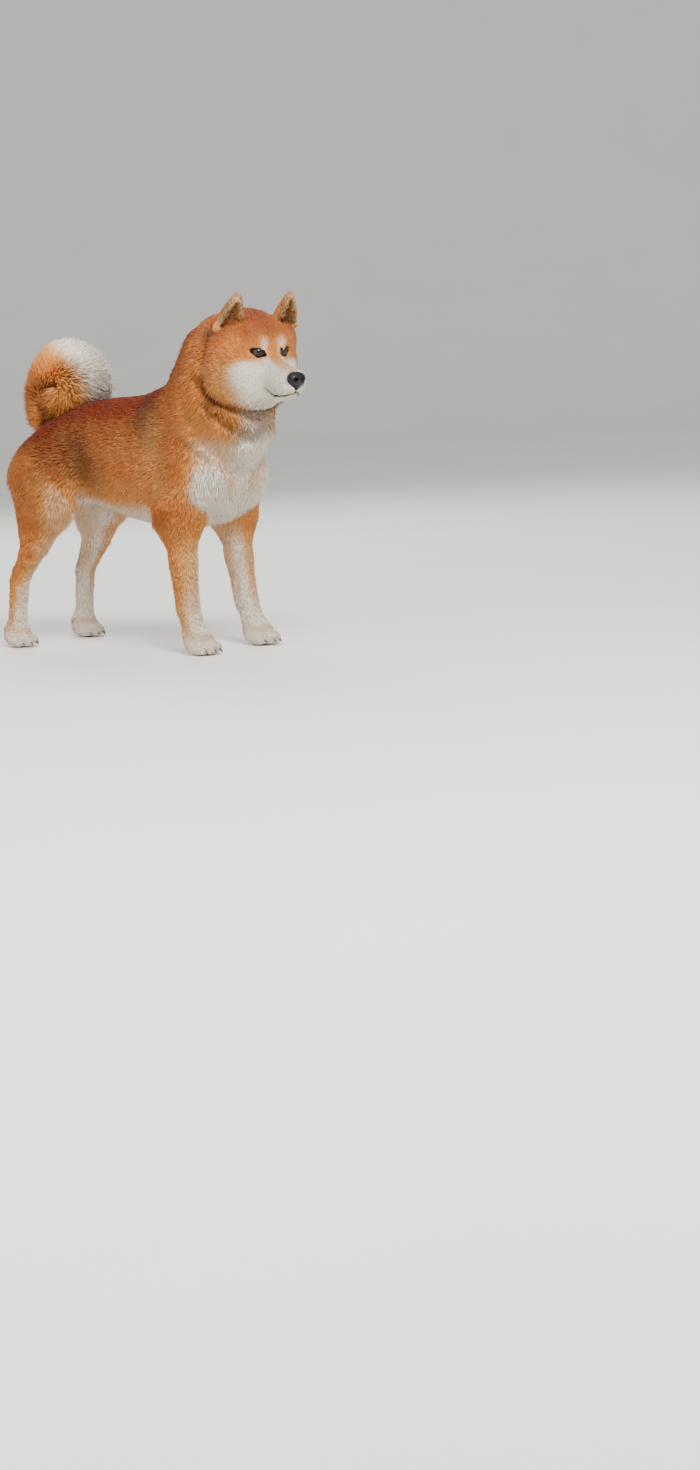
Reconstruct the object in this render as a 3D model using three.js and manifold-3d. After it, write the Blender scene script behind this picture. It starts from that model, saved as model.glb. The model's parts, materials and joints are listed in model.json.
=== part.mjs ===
// A red shiba inu standing still, life size, its head up and its tail curled over the back.
// Millimetres. +X is the way the body faces, +Y its left side, +Z up, and the floor is z = 0.
// The body is one smooth shape, described by distances to a few dozen soft forms (see "Forms").
// Each named piece is that shape inside its own bounds, parted from its neighbours by thin flat cuts.

import * as THREE from "three";
import { mergeVertices } from "three/addons/utils/BufferGeometryUtils.js";
import Module from "manifold-3d";

const wasm = await Module();
wasm.setup();

// Driving dimensions
const GAP = 0.3; // between neighbouring pieces
const WITHERS_HEIGHT = 390; // top of the shoulders, coat included
const BACK_HEIGHT = 375;
const STANCE_LENGTH = 378; // fore feet to hind feet
const FORE_TRACK = 130; // between the fore feet, middle to middle
const HIND_TRACK = 144;
const CHEST_WIDTH = 150;
const BRISKET_HEIGHT = 186;
const HEAD_RADIUS = 70; // the skull and cheeks are nearly a ball
const HEAD_CENTRE = [75, 0, 421];
const HEAD_TURN = -12; // degrees to the left
const HEAD_NOD = 11; // degrees nose down
const EYE_SPACING = 49;
const NOSE_REACH = 112; // from the middle of the head to the front of the muzzle
const TAIL_ROOT = [-306, 0, 338];
const TAIL_TURN = 20; // degrees that the curl's plane stands off the body's own plane
const FUR = { roughness: 0.95, metalness: 0 };

const RED = 0xb8632a;
const CREAM = 0xe9d6b8;

// Distance fields: each form is a function of x, y, z that is negative inside
const ellipsoid = ([cx, cy, cz], [rx, ry, rz]) => (x, y, z) => {
  const px = (x - cx) / rx;
  const py = (y - cy) / ry;
  const pz = (z - cz) / rz;
  const near = Math.hypot(px, py, pz);
  const slope = Math.hypot(px / rx, py / ry, pz / rz);
  return slope < 1e-9 ? -Math.min(rx, ry, rz) : (near * (near - 1)) / slope;
};

// A tapered limb with round ends, from a to b
const limb = (a, b, ra, rb) => {
  const ab = b.map((v, i) => v - a[i]);
  const length2 = ab.reduce((sum, v) => sum + v * v, 0);
  const taper = ra - rb;
  const a2 = length2 - taper * taper;
  return (x, y, z) => {
    const pa = [x - a[0], y - a[1], z - a[2]];
    const along = pa[0] * ab[0] + pa[1] * ab[1] + pa[2] * ab[2];
    const rest = along - length2;
    const off = Math.hypot(
      pa[0] * length2 - ab[0] * along,
      pa[1] * length2 - ab[1] * along,
      pa[2] * length2 - ab[2] * along,
    );
    const off2 = off * off;
    const along2 = along * along * length2;
    const rest2 = rest * rest * length2;
    const k = Math.sign(taper) * taper * taper * off2;
    if (Math.sign(rest) * a2 * rest2 > k) return Math.sqrt(off2 + rest2) / length2 - rb;
    if (Math.sign(along) * a2 * along2 < k) return Math.sqrt(off2 + along2) / length2 - ra;
    return (Math.sqrt(off2 * a2 / length2) + along * taper) / length2 - ra;
  };
};

// The same form squeezed by a factor along each axis about a point
const squeezed = (about, [sx, sy, sz], form) => {
  const least = Math.min(sx, sy, sz);
  return (x, y, z) =>
    least *
    form(
      about[0] + (x - about[0]) / sx,
      about[1] + (y - about[1]) / sy,
      about[2] + (z - about[2]) / sz,
    );
};

const smoothMin = (a, b, k) => {
  const h = Math.max(k - Math.abs(a - b), 0) / k;
  return Math.min(a, b) - (h * h * k) / 4;
};

// Forms grown together, the joins rounded over a width of softness
const together = (softness, ...forms) => (x, y, z) => {
  let d = forms[0](x, y, z);
  for (let i = 1; i < forms.length; i++) d = smoothMin(d, forms[i](x, y, z), softness);
  return d;
};

const hollowed = (softness, form, ...tools) => (x, y, z) => {
  let d = form(x, y, z);
  for (const tool of tools) d = -smoothMin(-d, tool(x, y, z), softness);
  return d;
};

const moved = (matrix, form) => {
  const e = matrix.clone().invert().elements;
  return (x, y, z) =>
    form(
      e[0] * x + e[4] * y + e[8] * z + e[12],
      e[1] * x + e[5] * y + e[9] * z + e[13],
      e[2] * x + e[6] * y + e[10] * z + e[14],
    );
};

const swollen = (form, by) => (x, y, z) => form(x, y, z) - by;

// A mesh grown from a point inside it, so that what it then cuts clears the mesh itself by about GAP
const grownFrom = ([x, y, z], radius, mesh) => {
  const factor = 1 + GAP / radius;
  return mesh.clone().translate(-x, -y, -z).scale(factor, factor, factor).translate(x, y, z);
};

// Meshing: grid lines between two limits, about step apart, where step may depend on the place
const lines = (from, to, step) => {
  const at = [from];
  while (at[at.length - 1] < to) {
    const last = at[at.length - 1];
    at.push(last + (typeof step === "function" ? step(last) : step));
  }
  return at;
};

// A closed mesh of the surface where the field is zero: a vertex in each grid cell that it crosses
function meshOf(field, xs, ys, zs) {
  const [nx, ny, nz] = [xs.length, ys.length, zs.length];
  const index = (i, j, k) => (k * ny + j) * nx + i;
  const value = new Float64Array(nx * ny * nz);
  for (let k = 0; k < nz; k++)
    for (let j = 0; j < ny; j++)
      for (let i = 0; i < nx; i++) {
        const edge = i === 0 || j === 0 || k === 0 || i === nx - 1 || j === ny - 1 || k === nz - 1;
        const d = field(xs[i], ys[j], zs[k]);
        value[index(i, j, k)] = edge ? Math.max(d, 0.01) : d;
      }
  const corners = [0, 1, 2, 3, 4, 5, 6, 7].map((c) => [c & 1, (c >> 1) & 1, c >> 2]);
  const edges = [];
  for (let a = 0; a < 8; a++)
    for (const bit of [1, 2, 4]) if (!(a & bit)) edges.push([a, a | bit]);
  const vertexOf = new Int32Array(nx * ny * nz).fill(-1);
  const position = [];
  for (let k = 0; k < nz - 1; k++)
    for (let j = 0; j < ny - 1; j++)
      for (let i = 0; i < nx - 1; i++) {
        const v = corners.map(([a, b, c]) => value[index(i + a, j + b, k + c)]);
        if (v.every((d) => d < 0) || v.every((d) => d >= 0)) continue;
        const sum = [0, 0, 0];
        let count = 0;
        for (const [a, b] of edges) {
          if (v[a] < 0 === v[b] < 0) continue;
          const t = v[a] / (v[a] - v[b]);
          const [pa, pb] = [a, b].map((c) => [
            xs[i + corners[c][0]],
            ys[j + corners[c][1]],
            zs[k + corners[c][2]],
          ]);
          for (let n = 0; n < 3; n++) sum[n] += pa[n] + t * (pb[n] - pa[n]);
          count++;
        }
        const low = [xs[i], ys[j], zs[k]];
        const high = [xs[i + 1], ys[j + 1], zs[k + 1]];
        vertexOf[index(i, j, k)] = position.length / 3;
        position.push(...drawnOnto(field, sum.map((s) => s / count), low, high));
      }
  const faces = [];
  const quad = (a, b, c, d, flip) => {
    if (flip) [b, d] = [d, b];
    const gap2 = (p, q) =>
      [0, 1, 2].reduce((s, n) => s + (position[3 * p + n] - position[3 * q + n]) ** 2, 0);
    if (gap2(a, c) <= gap2(b, d)) faces.push(a, b, c, a, c, d);
    else faces.push(b, c, d, b, d, a);
  };
  for (let k = 0; k < nz - 1; k++)
    for (let j = 0; j < ny - 1; j++)
      for (let i = 0; i < nx - 1; i++) {
        const inside = value[index(i, j, k)] < 0;
        const cell = (a, b, c) => vertexOf[index(i - a, j - b, k - c)];
        if (j && k && inside !== value[index(i + 1, j, k)] < 0)
          quad(cell(0, 0, 0), cell(0, 1, 0), cell(0, 1, 1), cell(0, 0, 1), !inside);
        if (i && k && inside !== value[index(i, j + 1, k)] < 0)
          quad(cell(0, 0, 0), cell(0, 0, 1), cell(1, 0, 1), cell(1, 0, 0), !inside);
        if (i && j && inside !== value[index(i, j, k + 1)] < 0)
          quad(cell(0, 0, 0), cell(1, 0, 0), cell(1, 1, 0), cell(0, 1, 0), !inside);
      }
  return new THREE.BufferGeometry()
    .setAttribute("position", new THREE.Float32BufferAttribute(position, 3))
    .setIndex(faces);
}

// A point near the surface moved onto it, and kept inside its own grid cell
function drawnOnto(field, point, low, high) {
  const p = [...point];
  const h = 0.2;
  for (let turn = 0; turn < 4; turn++) {
    const d = field(...p);
    const slope = [0, 1, 2].map((n) => {
      const [q, r] = [[...p], [...p]];
      q[n] += h;
      r[n] -= h;
      return (field(...q) - field(...r)) / (2 * h);
    });
    const steep2 = slope.reduce((s, v) => s + v * v, 0) || 1;
    for (let n = 0; n < 3; n++) {
      const margin = 0.04 * (high[n] - low[n]);
      const moved = p[n] - (d * slope[n]) / steep2;
      p[n] = Math.min(Math.max(moved, low[n] + margin), high[n] - margin);
    }
  }
  return p;
}

// Solids: three.js geometry to a closed solid and back
function solid(geometry) {
  const bare = geometry.clone();
  for (const name of Object.keys(bare.attributes)) if (name !== "position") bare.deleteAttribute(name);
  const merged = mergeVertices(bare, 1e-3);
  return new wasm.Manifold(
    new wasm.Mesh({
      numProp: 3,
      vertProperties: new Float32Array(merged.attributes.position.array),
      triVerts: new Uint32Array(merged.index.array),
    }),
  );
}

const largest = (made) =>
  made.decompose().reduce((best, piece) => (piece.volume() > best.volume() ? piece : best));

function geometryOf(made) {
  const { numProp, numVert, vertProperties, triVerts } = made.getMesh();
  const position = new Float32Array(numVert * 3);
  for (let i = 0; i < numVert; i++)
    position.set(vertProperties.subarray(i * numProp, i * numProp + 3), i * 3);
  return new THREE.BufferGeometry()
    .setAttribute("position", new THREE.BufferAttribute(position, 3))
    .setIndex(new THREE.BufferAttribute(new Uint32Array(triVerts), 1));
}

// Where two sheets of a surface share a point, each is drawn back a hair towards its own neighbours
const HAIR = 0.05;
function sheetsParted(geometry) {
  const { position } = geometry.attributes;
  const index = geometry.index.array;
  const at = (i) => new THREE.Vector3().fromBufferAttribute(position, i);
  const sharing = new Map();
  for (let i = 0; i < position.count; i++) {
    const key = at(i)
      .toArray()
      .map((v) => Math.round(v * 200))
      .join();
    sharing.set(key, [...(sharing.get(key) ?? []), i]);
  }
  const shared = new Set([...sharing.values()].filter((group) => group.length > 1).flat());
  const around = new Map([...shared].map((i) => [i, []]));
  for (let t = 0; t < index.length; t += 3)
    for (let c = 0; c < 3; c++)
      around.get(index[t + c])?.push(index[t + ((c + 1) % 3)], index[t + ((c + 2) % 3)]);
  for (const [i, near] of around) {
    const mean = near.reduce((sum, n) => sum.add(at(n)), new THREE.Vector3()).divideScalar(near.length);
    const from = at(i);
    const to = from.clone().addScaledVector(mean.sub(from).normalize(), HAIR);
    position.setXYZ(i, to.x, to.y, to.z);
  }
  return geometry;
}

// One named piece. Rounding can part a sliver from it, so the largest body is taken once more after that
function nodeOf(name, made, color, look = FUR) {
  const geometry = sheetsParted(geometryOf(largest(solid(geometryOf(largest(made))))));
  geometry.computeVertexNormals();
  const mesh = new THREE.Mesh(geometry, new THREE.MeshStandardMaterial({ color, ...look }));
  mesh.name = name;
  return mesh;
}

// Everything on the far side of a plane, as a block to cut with: the side that the normal points to
const BLOCK = 1600;
function beyond(point, normal, inset = 0) {
  const n = new THREE.Vector3(...normal).normalize();
  const block = new THREE.BoxGeometry(BLOCK, BLOCK, BLOCK);
  const turn = new THREE.Quaternion().setFromUnitVectors(new THREE.Vector3(0, 0, 1), n);
  const middle = new THREE.Vector3(...point).addScaledVector(n, BLOCK / 2 + inset);
  block.applyMatrix4(new THREE.Matrix4().compose(middle, turn, new THREE.Vector3(1, 1, 1)));
  return solid(block);
}

const mirrored = ([x, y, z], s) => [x, s * y, z];

// Forms: the trunk
const chestHalf = CHEST_WIDTH / 2;
const trunkHalf = (BACK_HEIGHT - BRISKET_HEIGHT) / 2;
const trunk = together(
  38,
  ellipsoid([-92, 0, BRISKET_HEIGHT + trunkHalf + 2], [128, chestHalf, trunkHalf]),
  ellipsoid([-62, 0, WITHERS_HEIGHT - 64], [58, 52, 60]),
  ellipsoid([-205, 0, BACK_HEIGHT - 66], [105, 62, 64]),
  ellipsoid([-288, 0, 288], [76, 66, 64]),
  ellipsoid([-12, 0, 254], [49, 50, 62]),
  ellipsoid([-150, 0, 242], [100, 50, 36]),
);

// Forms: the neck, its thick ruff and the fold under the cheeks
const NECK_FOOT = [-18, 0, 314];
const NECK_TOP = [36, -1, 424];
const neck = together(
  22,
  limb(NECK_FOOT, NECK_TOP, 80, 66),
  ellipsoid([28, 0, 330], [56, 62, 60]),
);

// Forms: the fore legs. Shoulder blade, upper arm, forearm, pastern
const foreleg = (s) => {
  const blade = [-62, 34, 338];
  const shoulder = [8, 40, 256];
  const elbow = [-27, 58, 198];
  const midArm = [-22, 60, 132];
  const wrist = [-15, FORE_TRACK / 2 - 2, 66];
  const foot = [2, FORE_TRACK / 2, 24];
  return together(
    16,
    together(
      30,
      limb(mirrored(blade, s), mirrored(shoulder, s), 40, 33),
      limb(mirrored(shoulder, s), mirrored(elbow, s), 33, 30),
      limb([-34, s * 58, 208], mirrored(elbow, s), 30, 27),
    ),
    together(
      4,
      limb(mirrored(elbow, s), mirrored(midArm, s), 27, 21),
      limb(mirrored(midArm, s), mirrored(wrist, s), 21, 17.5),
      limb(mirrored(wrist, s), mirrored(foot, s), 17.5, 15.5),
    ),
  );
};

// Forms: the hind legs. Thigh, second thigh, hock, hind pastern
const hindleg = (s) => {
  const hip = [-296, 44, 276];
  const knee = [-292, 60, 216];
  const calf = [-324, 65, 162];
  const hock = [-361, HIND_TRACK / 2 - 2, 108];
  const foot = [4 - STANCE_LENGTH, HIND_TRACK / 2, 24];
  return together(
    20,
    limb(mirrored(hip, s), mirrored(knee, s), 54, 32),
    limb([-322, s * 48, 262], [-330, s * 60, 196], 48, 26),
    together(
      5,
      limb(mirrored(knee, s), mirrored(calf, s), 30, 22),
      limb(mirrored(calf, s), mirrored(hock, s), 22, 14.5),
      limb([-371, s * 70, 114], mirrored(hock, s), 8, 12),
      limb(mirrored(hock, s), mirrored(foot, s), 15.5, 14.5),
    ),
  );
};

// Forms: a paw, its heel at the origin's x. The toes are separate balls, set into it
const TOES = [
  { x: 20, y: -15, z: 10.5, r: [13, 7.2, 10.5], turn: -14 },
  { x: 28, y: -5.6, z: 11.5, r: [14, 7.2, 11.5], turn: -4 },
  { x: 28, y: 5.6, z: 11.5, r: [14, 7.2, 11.5], turn: 4 },
  { x: 20, y: 15, z: 10.5, r: [13, 7.2, 10.5], turn: 14 },
];
const paw = (x0, y0, size = 1) => {
  const at = (x, y, z) => [x0 + size * x, y0 + size * y, size * z];
  return together(
    12,
    ellipsoid(at(7, 0, 13), [23 * size, 19.5 * size, 16 * size]),
    limb(at(-4, 0, 26), at(14, 0, 18), 15 * size, 14 * size),
  );
};
const HIND_PAW_SIZE = 0.94;
const paws = {
  forepaw_left: paw(0, FORE_TRACK / 2),
  forepaw_right: paw(0, -FORE_TRACK / 2),
  hindpaw_left: paw(2 - STANCE_LENGTH, HIND_TRACK / 2, HIND_PAW_SIZE),
  hindpaw_right: paw(2 - STANCE_LENGTH, -HIND_TRACK / 2, HIND_PAW_SIZE),
};

// Forms: the head, in its own frame, +X to the nose and the origin in the middle of the skull
const EYE = [52, EYE_SPACING / 2, 20];
const headForms = together(
  20,
  ellipsoid([-9, 0, 8], [HEAD_RADIUS - 7, HEAD_RADIUS - 7, HEAD_RADIUS - 6]),
  ellipsoid([-2, 29, -12], [53, 43, 48]),
  ellipsoid([-2, -29, -12], [53, 43, 48]),
  ellipsoid([-4, 0, -32], [54, 44, 38]),
);
const muzzle = together(
  10,
  squeezed([40, 0, -12], [1, 1, 0.9], limb([36, 0, -12], [NOSE_REACH - 14, 0, -14], 31, 20.5)),
  ellipsoid([NOSE_REACH - 20, 9, -21], [20, 13.5, 12]),
  ellipsoid([NOSE_REACH - 20, -9, -21], [20, 13.5, 12]),
  limb([32, 0, -36], [NOSE_REACH - 20, 0, -31], 24, 10.5),
);
const face = hollowed(
  12,
  together(
    16,
    headForms,
    muzzle,
    ellipsoid([37, 18, 33], [17, 16, 12]),
    ellipsoid([37, -18, 33], [17, 16, 12]),
    ellipsoid([0, 50, 33], [26, 20, 22]),
    ellipsoid([0, -50, 33], [26, 20, 22]),
  ),
  ellipsoid([72, 37, 17], [17, 17, 12]),
  ellipsoid([72, -37, 17], [17, 17, 12]),
  ellipsoid([70, 0, 44], [14, 6, 20]),
);

const headFrame = new THREE.Matrix4().compose(
  new THREE.Vector3(...HEAD_CENTRE),
  new THREE.Quaternion().setFromEuler(
    new THREE.Euler(0, THREE.MathUtils.degToRad(HEAD_NOD), THREE.MathUtils.degToRad(HEAD_TURN), "ZYX"),
  ),
  new THREE.Vector3(1, 1, 1),
);

// The whole body but the tail
const whole = together(
  12,
  together(
    18,
    trunk,
    neck,
    together(14, foreleg(1), foreleg(-1)),
    together(14, hindleg(1), hindleg(-1)),
  ),
  moved(headFrame, face),
  ...Object.values(paws),
);
const wholeInHead = moved(headFrame.clone().invert(), whole);

// Parting planes: a point and a normal that points to the outer piece
const NECK_CUT = [[-8, 0, 345], [0.68, 0, 0.73]];
const HEAD_CUT = [[50, 0, 432], [0.8, -0.08, 0.6]];
const legCut = (point, slopeX, slopeY) => (s) => [
  [point[0], s * point[1], point[2]],
  [slopeX, s * slopeY, -1],
];
const FORE_CUT = legCut([-20, 60, 212], 0.25, 0.7);
const HIND_CUT = legCut([-300, 60, 262], -0.5, 0.95);
const FORE_PAW_CUT = 34;
const HIND_PAW_CUT = 34;

const below = (z, inset = 0) => beyond([0, 0, z], [0, 0, -1], inset);
const above = (z, inset = 0) => beyond([0, 0, z], [0, 0, 1], inset);

const half = GAP / 2;

// Torso
const bodyMesh = meshOf(whole, lines(-420, 120, 26), lines(-110, 110, 18), lines(150, 420, 18));
function makeTorso() {
  let torso = solid(bodyMesh).subtract(beyond(...NECK_CUT, -half));
  for (const s of [1, -1]) {
    torso = torso.subtract(legRegion(FORE_CUT(s), s, [-140, 120], -half));
    torso = torso.subtract(legRegion(HIND_CUT(s), s, [-460, -190], -half));
  }
  return nodeOf("torso", torso, RED);
}

// The block that holds one leg: under its cut, on its side, between two x
function legRegion([point, normal], s, [x0, x1], inset) {
  const inner = 10;
  return beyond(point, normal, inset)
    .intersect(beyond([0, s * inner, 0], [0, s, 0], inset))
    .intersect(beyond([x0, 0, 0], [1, 0, 0], inset))
    .intersect(beyond([x1, 0, 0], [-1, 0, 0], inset));
}

function makeNeck() {
  const body = solid(meshOf(whole, lines(-150, 150, 18), lines(-104, 104, 18), lines(250, 500, 18)));
  return nodeOf(
    "neck",
    body.intersect(beyond(...NECK_CUT, half)).subtract(beyond(...HEAD_CUT, -half)),
    RED,
  );
}

function makeForeleg(name, s) {
  const ys = s > 0 ? lines(-6, 114, 12) : lines(-114, 6, 12);
  const body = solid(meshOf(whole, lines(-110, 110, 12), ys, lines(10, 300, 22)));
  const leg = body
    .intersect(legRegion(FORE_CUT(s), s, [-140, 120], half))
    .intersect(above(FORE_PAW_CUT, half));
  return nodeOf(name, leg, RED);
}

function makeHindleg(name, s) {
  const ys = s > 0 ? lines(-8, 124, 13) : lines(-124, 8, 13);
  const body = solid(meshOf(whole, lines(-430, -180, 13), ys, lines(10, 340, 18)));
  const leg = body
    .intersect(legRegion(HIND_CUT(s), s, [-460, -190], half))
    .intersect(above(HIND_PAW_CUT, half));
  return nodeOf(name, leg, RED);
}

function makePaw(name, x0, y0, size, top) {
  const grid = [lines(x0 - 34, x0 + 46, 8), lines(y0 - 30, y0 + 30, 7.5), lines(-12, top + 20, 8)];
  let made = solid(meshOf(whole, ...grid));
  for (const t of TOES) {
    const toe = new THREE.SphereGeometry(1, 7, 5);
    toe.scale(...t.r.map((r) => r * size));
    toe.rotateZ(THREE.MathUtils.degToRad(t.turn));
    toe.translate(x0 + size * t.x, y0 + size * t.y, size * t.z);
    const claw = new THREE.ConeGeometry(2.5 * size, 10 * size, 5);
    claw.rotateZ(-Math.PI / 2 - 0.55);
    claw.rotateX(Math.PI / 2);
    claw.translate(x0 + size * (t.x + t.r[0] - 1), y0 + size * t.y * 1.06, size * 7);
    made = made.add(solid(toe)).add(solid(claw));
  }
  const cut = made.intersect(beyond([0, 0, top], [0, 0, -1], half)).subtract(below(0));
  return nodeOf(name, cut, CREAM);
}

// The head and what it carries, all in the head's own frame
const headStep = {
  x: (x) => (x < 28 ? 15 : x < 76 ? 7 : 6),
  y: (y) => (y >= -36 && y < 34 ? 6 : 12),
  z: (z) => (z < -46 ? 12 : z < 38 ? 6.2 : 12),
};

const tube = (points, radius, sides, steps) => {
  const path = new THREE.CatmullRomCurve3(points.map((p) => new THREE.Vector3(...p)));
  const ring = new THREE.Shape();
  ring.absarc(0, 0, radius, 0, 2 * Math.PI);
  return new THREE.ExtrudeGeometry(ring, {
    steps,
    extrudePath: path,
    curveSegments: sides,
    bevelEnabled: false,
  });
};

// The eye opening: an almond with its outer corner raised
const EYE_WIDTH = 22;
const EYE_OPEN = 10;
const EYE_BALL = 10.5;
const EYE_SINK = 25; // how far in from the eye its ray to the surface begins
const eyeOut = (s) => new THREE.Vector3(0.78, s * 0.62, 0.06).normalize();
const eyeFrame = (s) => {
  const out = eyeOut(s);
  const across = new THREE.Vector3(0, 0, 1).cross(out).normalize();
  const up = out.clone().cross(across);
  return new THREE.Matrix4().makeBasis(across, up, out).setPosition(EYE[0], s * EYE[1], EYE[2]);
};
const almond = (s) => {
  const w = EYE_WIDTH / 2;
  const shape = new THREE.Shape();
  const [inner, outer] = [[-s * w, -2.6], [s * w, 2.2]];
  shape.moveTo(...inner);
  shape.bezierCurveTo(-s * w * 0.4, EYE_OPEN * 0.72, s * w * 0.5, EYE_OPEN * 0.74, ...outer);
  shape.bezierCurveTo(s * w * 0.5, -EYE_OPEN * 0.42, -s * w * 0.4, -EYE_OPEN * 0.6, ...inner);
  return shape;
};

// Distance from an inner point to the face's surface, along a direction
function reach(from, direction) {
  let [near, far] = [0, 160];
  for (let turn = 0; turn < 40; turn++) {
    const mid = (near + far) / 2;
    const d = face(...from.map((v, i) => v + direction[i] * mid));
    if (d < 0) near = mid;
    else far = mid;
  }
  return near;
}

// The line of the mouth: from under the nose it dips along each lip and rises to the corners
const MOUTH = { from: 72, turn: 92, front: -26, dip: -9, corner: -29 };
const mouthLine = (proud) => {
  const points = [];
  const count = 24;
  for (let i = 0; i <= count; i++) {
    const share = (2 * i) / count - 1;
    const turn = THREE.MathUtils.degToRad(share * MOUTH.turn);
    const a = Math.abs(share);
    const w = MOUTH.front + (MOUTH.corner - MOUTH.front) * a + MOUTH.dip * Math.sin(Math.PI * a);
    const direction = [Math.cos(turn), Math.sin(turn), 0];
    const r = reach([MOUTH.from, 0, w], direction) + proud;
    points.push([MOUTH.from + direction[0] * r, direction[1] * r, w]);
  }
  return points;
};

const NOSE_PAD = [NOSE_REACH, 0, -7];
const nosePad = together(
  4,
  ellipsoid(NOSE_PAD, [10, 13.5, 9.5]),
  ellipsoid([NOSE_PAD[0] + 1, 6, NOSE_PAD[2] - 1.5], [8.5, 7.5, 8]),
  ellipsoid([NOSE_PAD[0] + 1, -6, NOSE_PAD[2] - 1.5], [8.5, 7.5, 8]),
  ellipsoid([NOSE_PAD[0] - 1, 0, NOSE_PAD[2] - 9], [8, 5, 9]),
);
const nostril = (s) => {
  const round = new THREE.SphereGeometry(1, 8, 6).scale(6, 3.1, 2.7);
  round.rotateZ(s * 0.5).translate(NOSE_PAD[0] + 9, s * 6, NOSE_PAD[2] - 0.5);
  const slit = new THREE.SphereGeometry(1, 8, 6).scale(4, 6, 1.1);
  slit.rotateX(-s * 0.35).rotateZ(-s * 0.5).translate(NOSE_PAD[0] + 6.5, s * 11, NOSE_PAD[2] - 2.4);
  return solid(round).add(solid(slit));
};

const noseGrid = [
  lines(NOSE_PAD[0] - 16, NOSE_PAD[0] + 16, 4.2),
  lines(-18, 18, 3.6),
  lines(NOSE_PAD[2] - 24, NOSE_PAD[2] + 16, 4),
];

// An ear: a thick cone that bulges behind and leans forward, hollowed from the front
const EAR = {
  foot: [12, 50, 44],
  tip: [23, 46, 98],
  across: [-9.5, 33, -16],
  half: 24,
  behind: 24,
  before: 5,
  rim: 5,
  tuck: 70, // how far the buried foot leans in under the skull
};
function earLoft(s, heights, sides, halfAt, behindAt, beforeAt) {
  const foot = new THREE.Vector3(EAR.foot[0], s * EAR.foot[1], EAR.foot[2]);
  const up = new THREE.Vector3(EAR.tip[0], s * EAR.tip[1], EAR.tip[2]).sub(foot);
  const across = new THREE.Vector3(EAR.across[0], s * EAR.across[1], EAR.across[2]);
  across.addScaledVector(up, -across.dot(up) / up.lengthSq()).normalize();
  const out = across.clone().cross(up).multiplyScalar(s).normalize();
  const position = [];
  for (const t of heights)
    for (let i = 0; i < sides; i++) {
      const turn = (2 * Math.PI * i) / sides;
      const depth = Math.sin(turn) > 0 ? beforeAt(t) : behindAt(t);
      const p = foot
        .clone()
        .addScaledVector(up, t)
        .addScaledVector(across, Math.cos(turn) * halfAt(t) - EAR.tuck * Math.max(-t, 0))
        .addScaledVector(out, Math.sin(turn) * depth);
      position.push(p.x, p.y, p.z);
    }
  return facingOut(loft(position, heights.length));
}
function makeEar(s) {
  const left = (t) => 1 - Math.max(t, 0);
  const outer = earLoft(
    s,
    [-0.45, -0.2, 0, 0.25, 0.5, 0.72, 0.88, 0.97],
    12,
    (t) => EAR.half * Math.pow(left(t), 0.72) * (1 + Math.min(t, 0)) + 1.6,
    (t) => EAR.behind * Math.pow(left(t), 0.8) + 1.6,
    () => EAR.before,
  );
  const hollow = earLoft(
    s,
    [0.05, 0.28, 0.5, 0.7, 0.84],
    10,
    (t) => Math.max(EAR.half * Math.pow(left(t), 0.72) - EAR.rim, 1.5),
    (t) => Math.max((EAR.behind * Math.pow(left(t), 0.8) - 1.5 * EAR.rim) * Math.min(1, 2.6 * t), 0.5),
    () => 3 * EAR.before,
  );
  return outer.subtract(hollow);
}

// Faces over rings of equal point counts, with flat ends
function loft(position, rings) {
  const n = position.length / 3 / rings;
  const faces = [];
  const tri = (a, b, c) => faces.push(a, b, c);
  for (let r = 0; r < rings - 1; r++)
    for (let i = 0; i < n; i++) {
      const [a, b] = [r * n + i, r * n + ((i + 1) % n)];
      tri(a, b, b + n);
      tri(a, b + n, a + n);
    }
  for (const [start, flip] of [[0, true], [(rings - 1) * n, false]])
    for (let i = 1; i < n - 1; i++)
      if (flip) tri(start, start + i + 1, start + i);
      else tri(start, start + i, start + i + 1);
  return new THREE.BufferGeometry()
    .setAttribute("position", new THREE.Float32BufferAttribute(position, 3))
    .setIndex(faces);
}

function facingOut(geometry) {
  const made = solid(geometry);
  if (made.volume() > 0) return made;
  const flipped = geometry.clone();
  const index = flipped.index.array;
  for (let i = 0; i < index.length; i += 3) [index[i + 1], index[i + 2]] = [index[i + 2], index[i + 1]];
  return solid(flipped);
}

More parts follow.
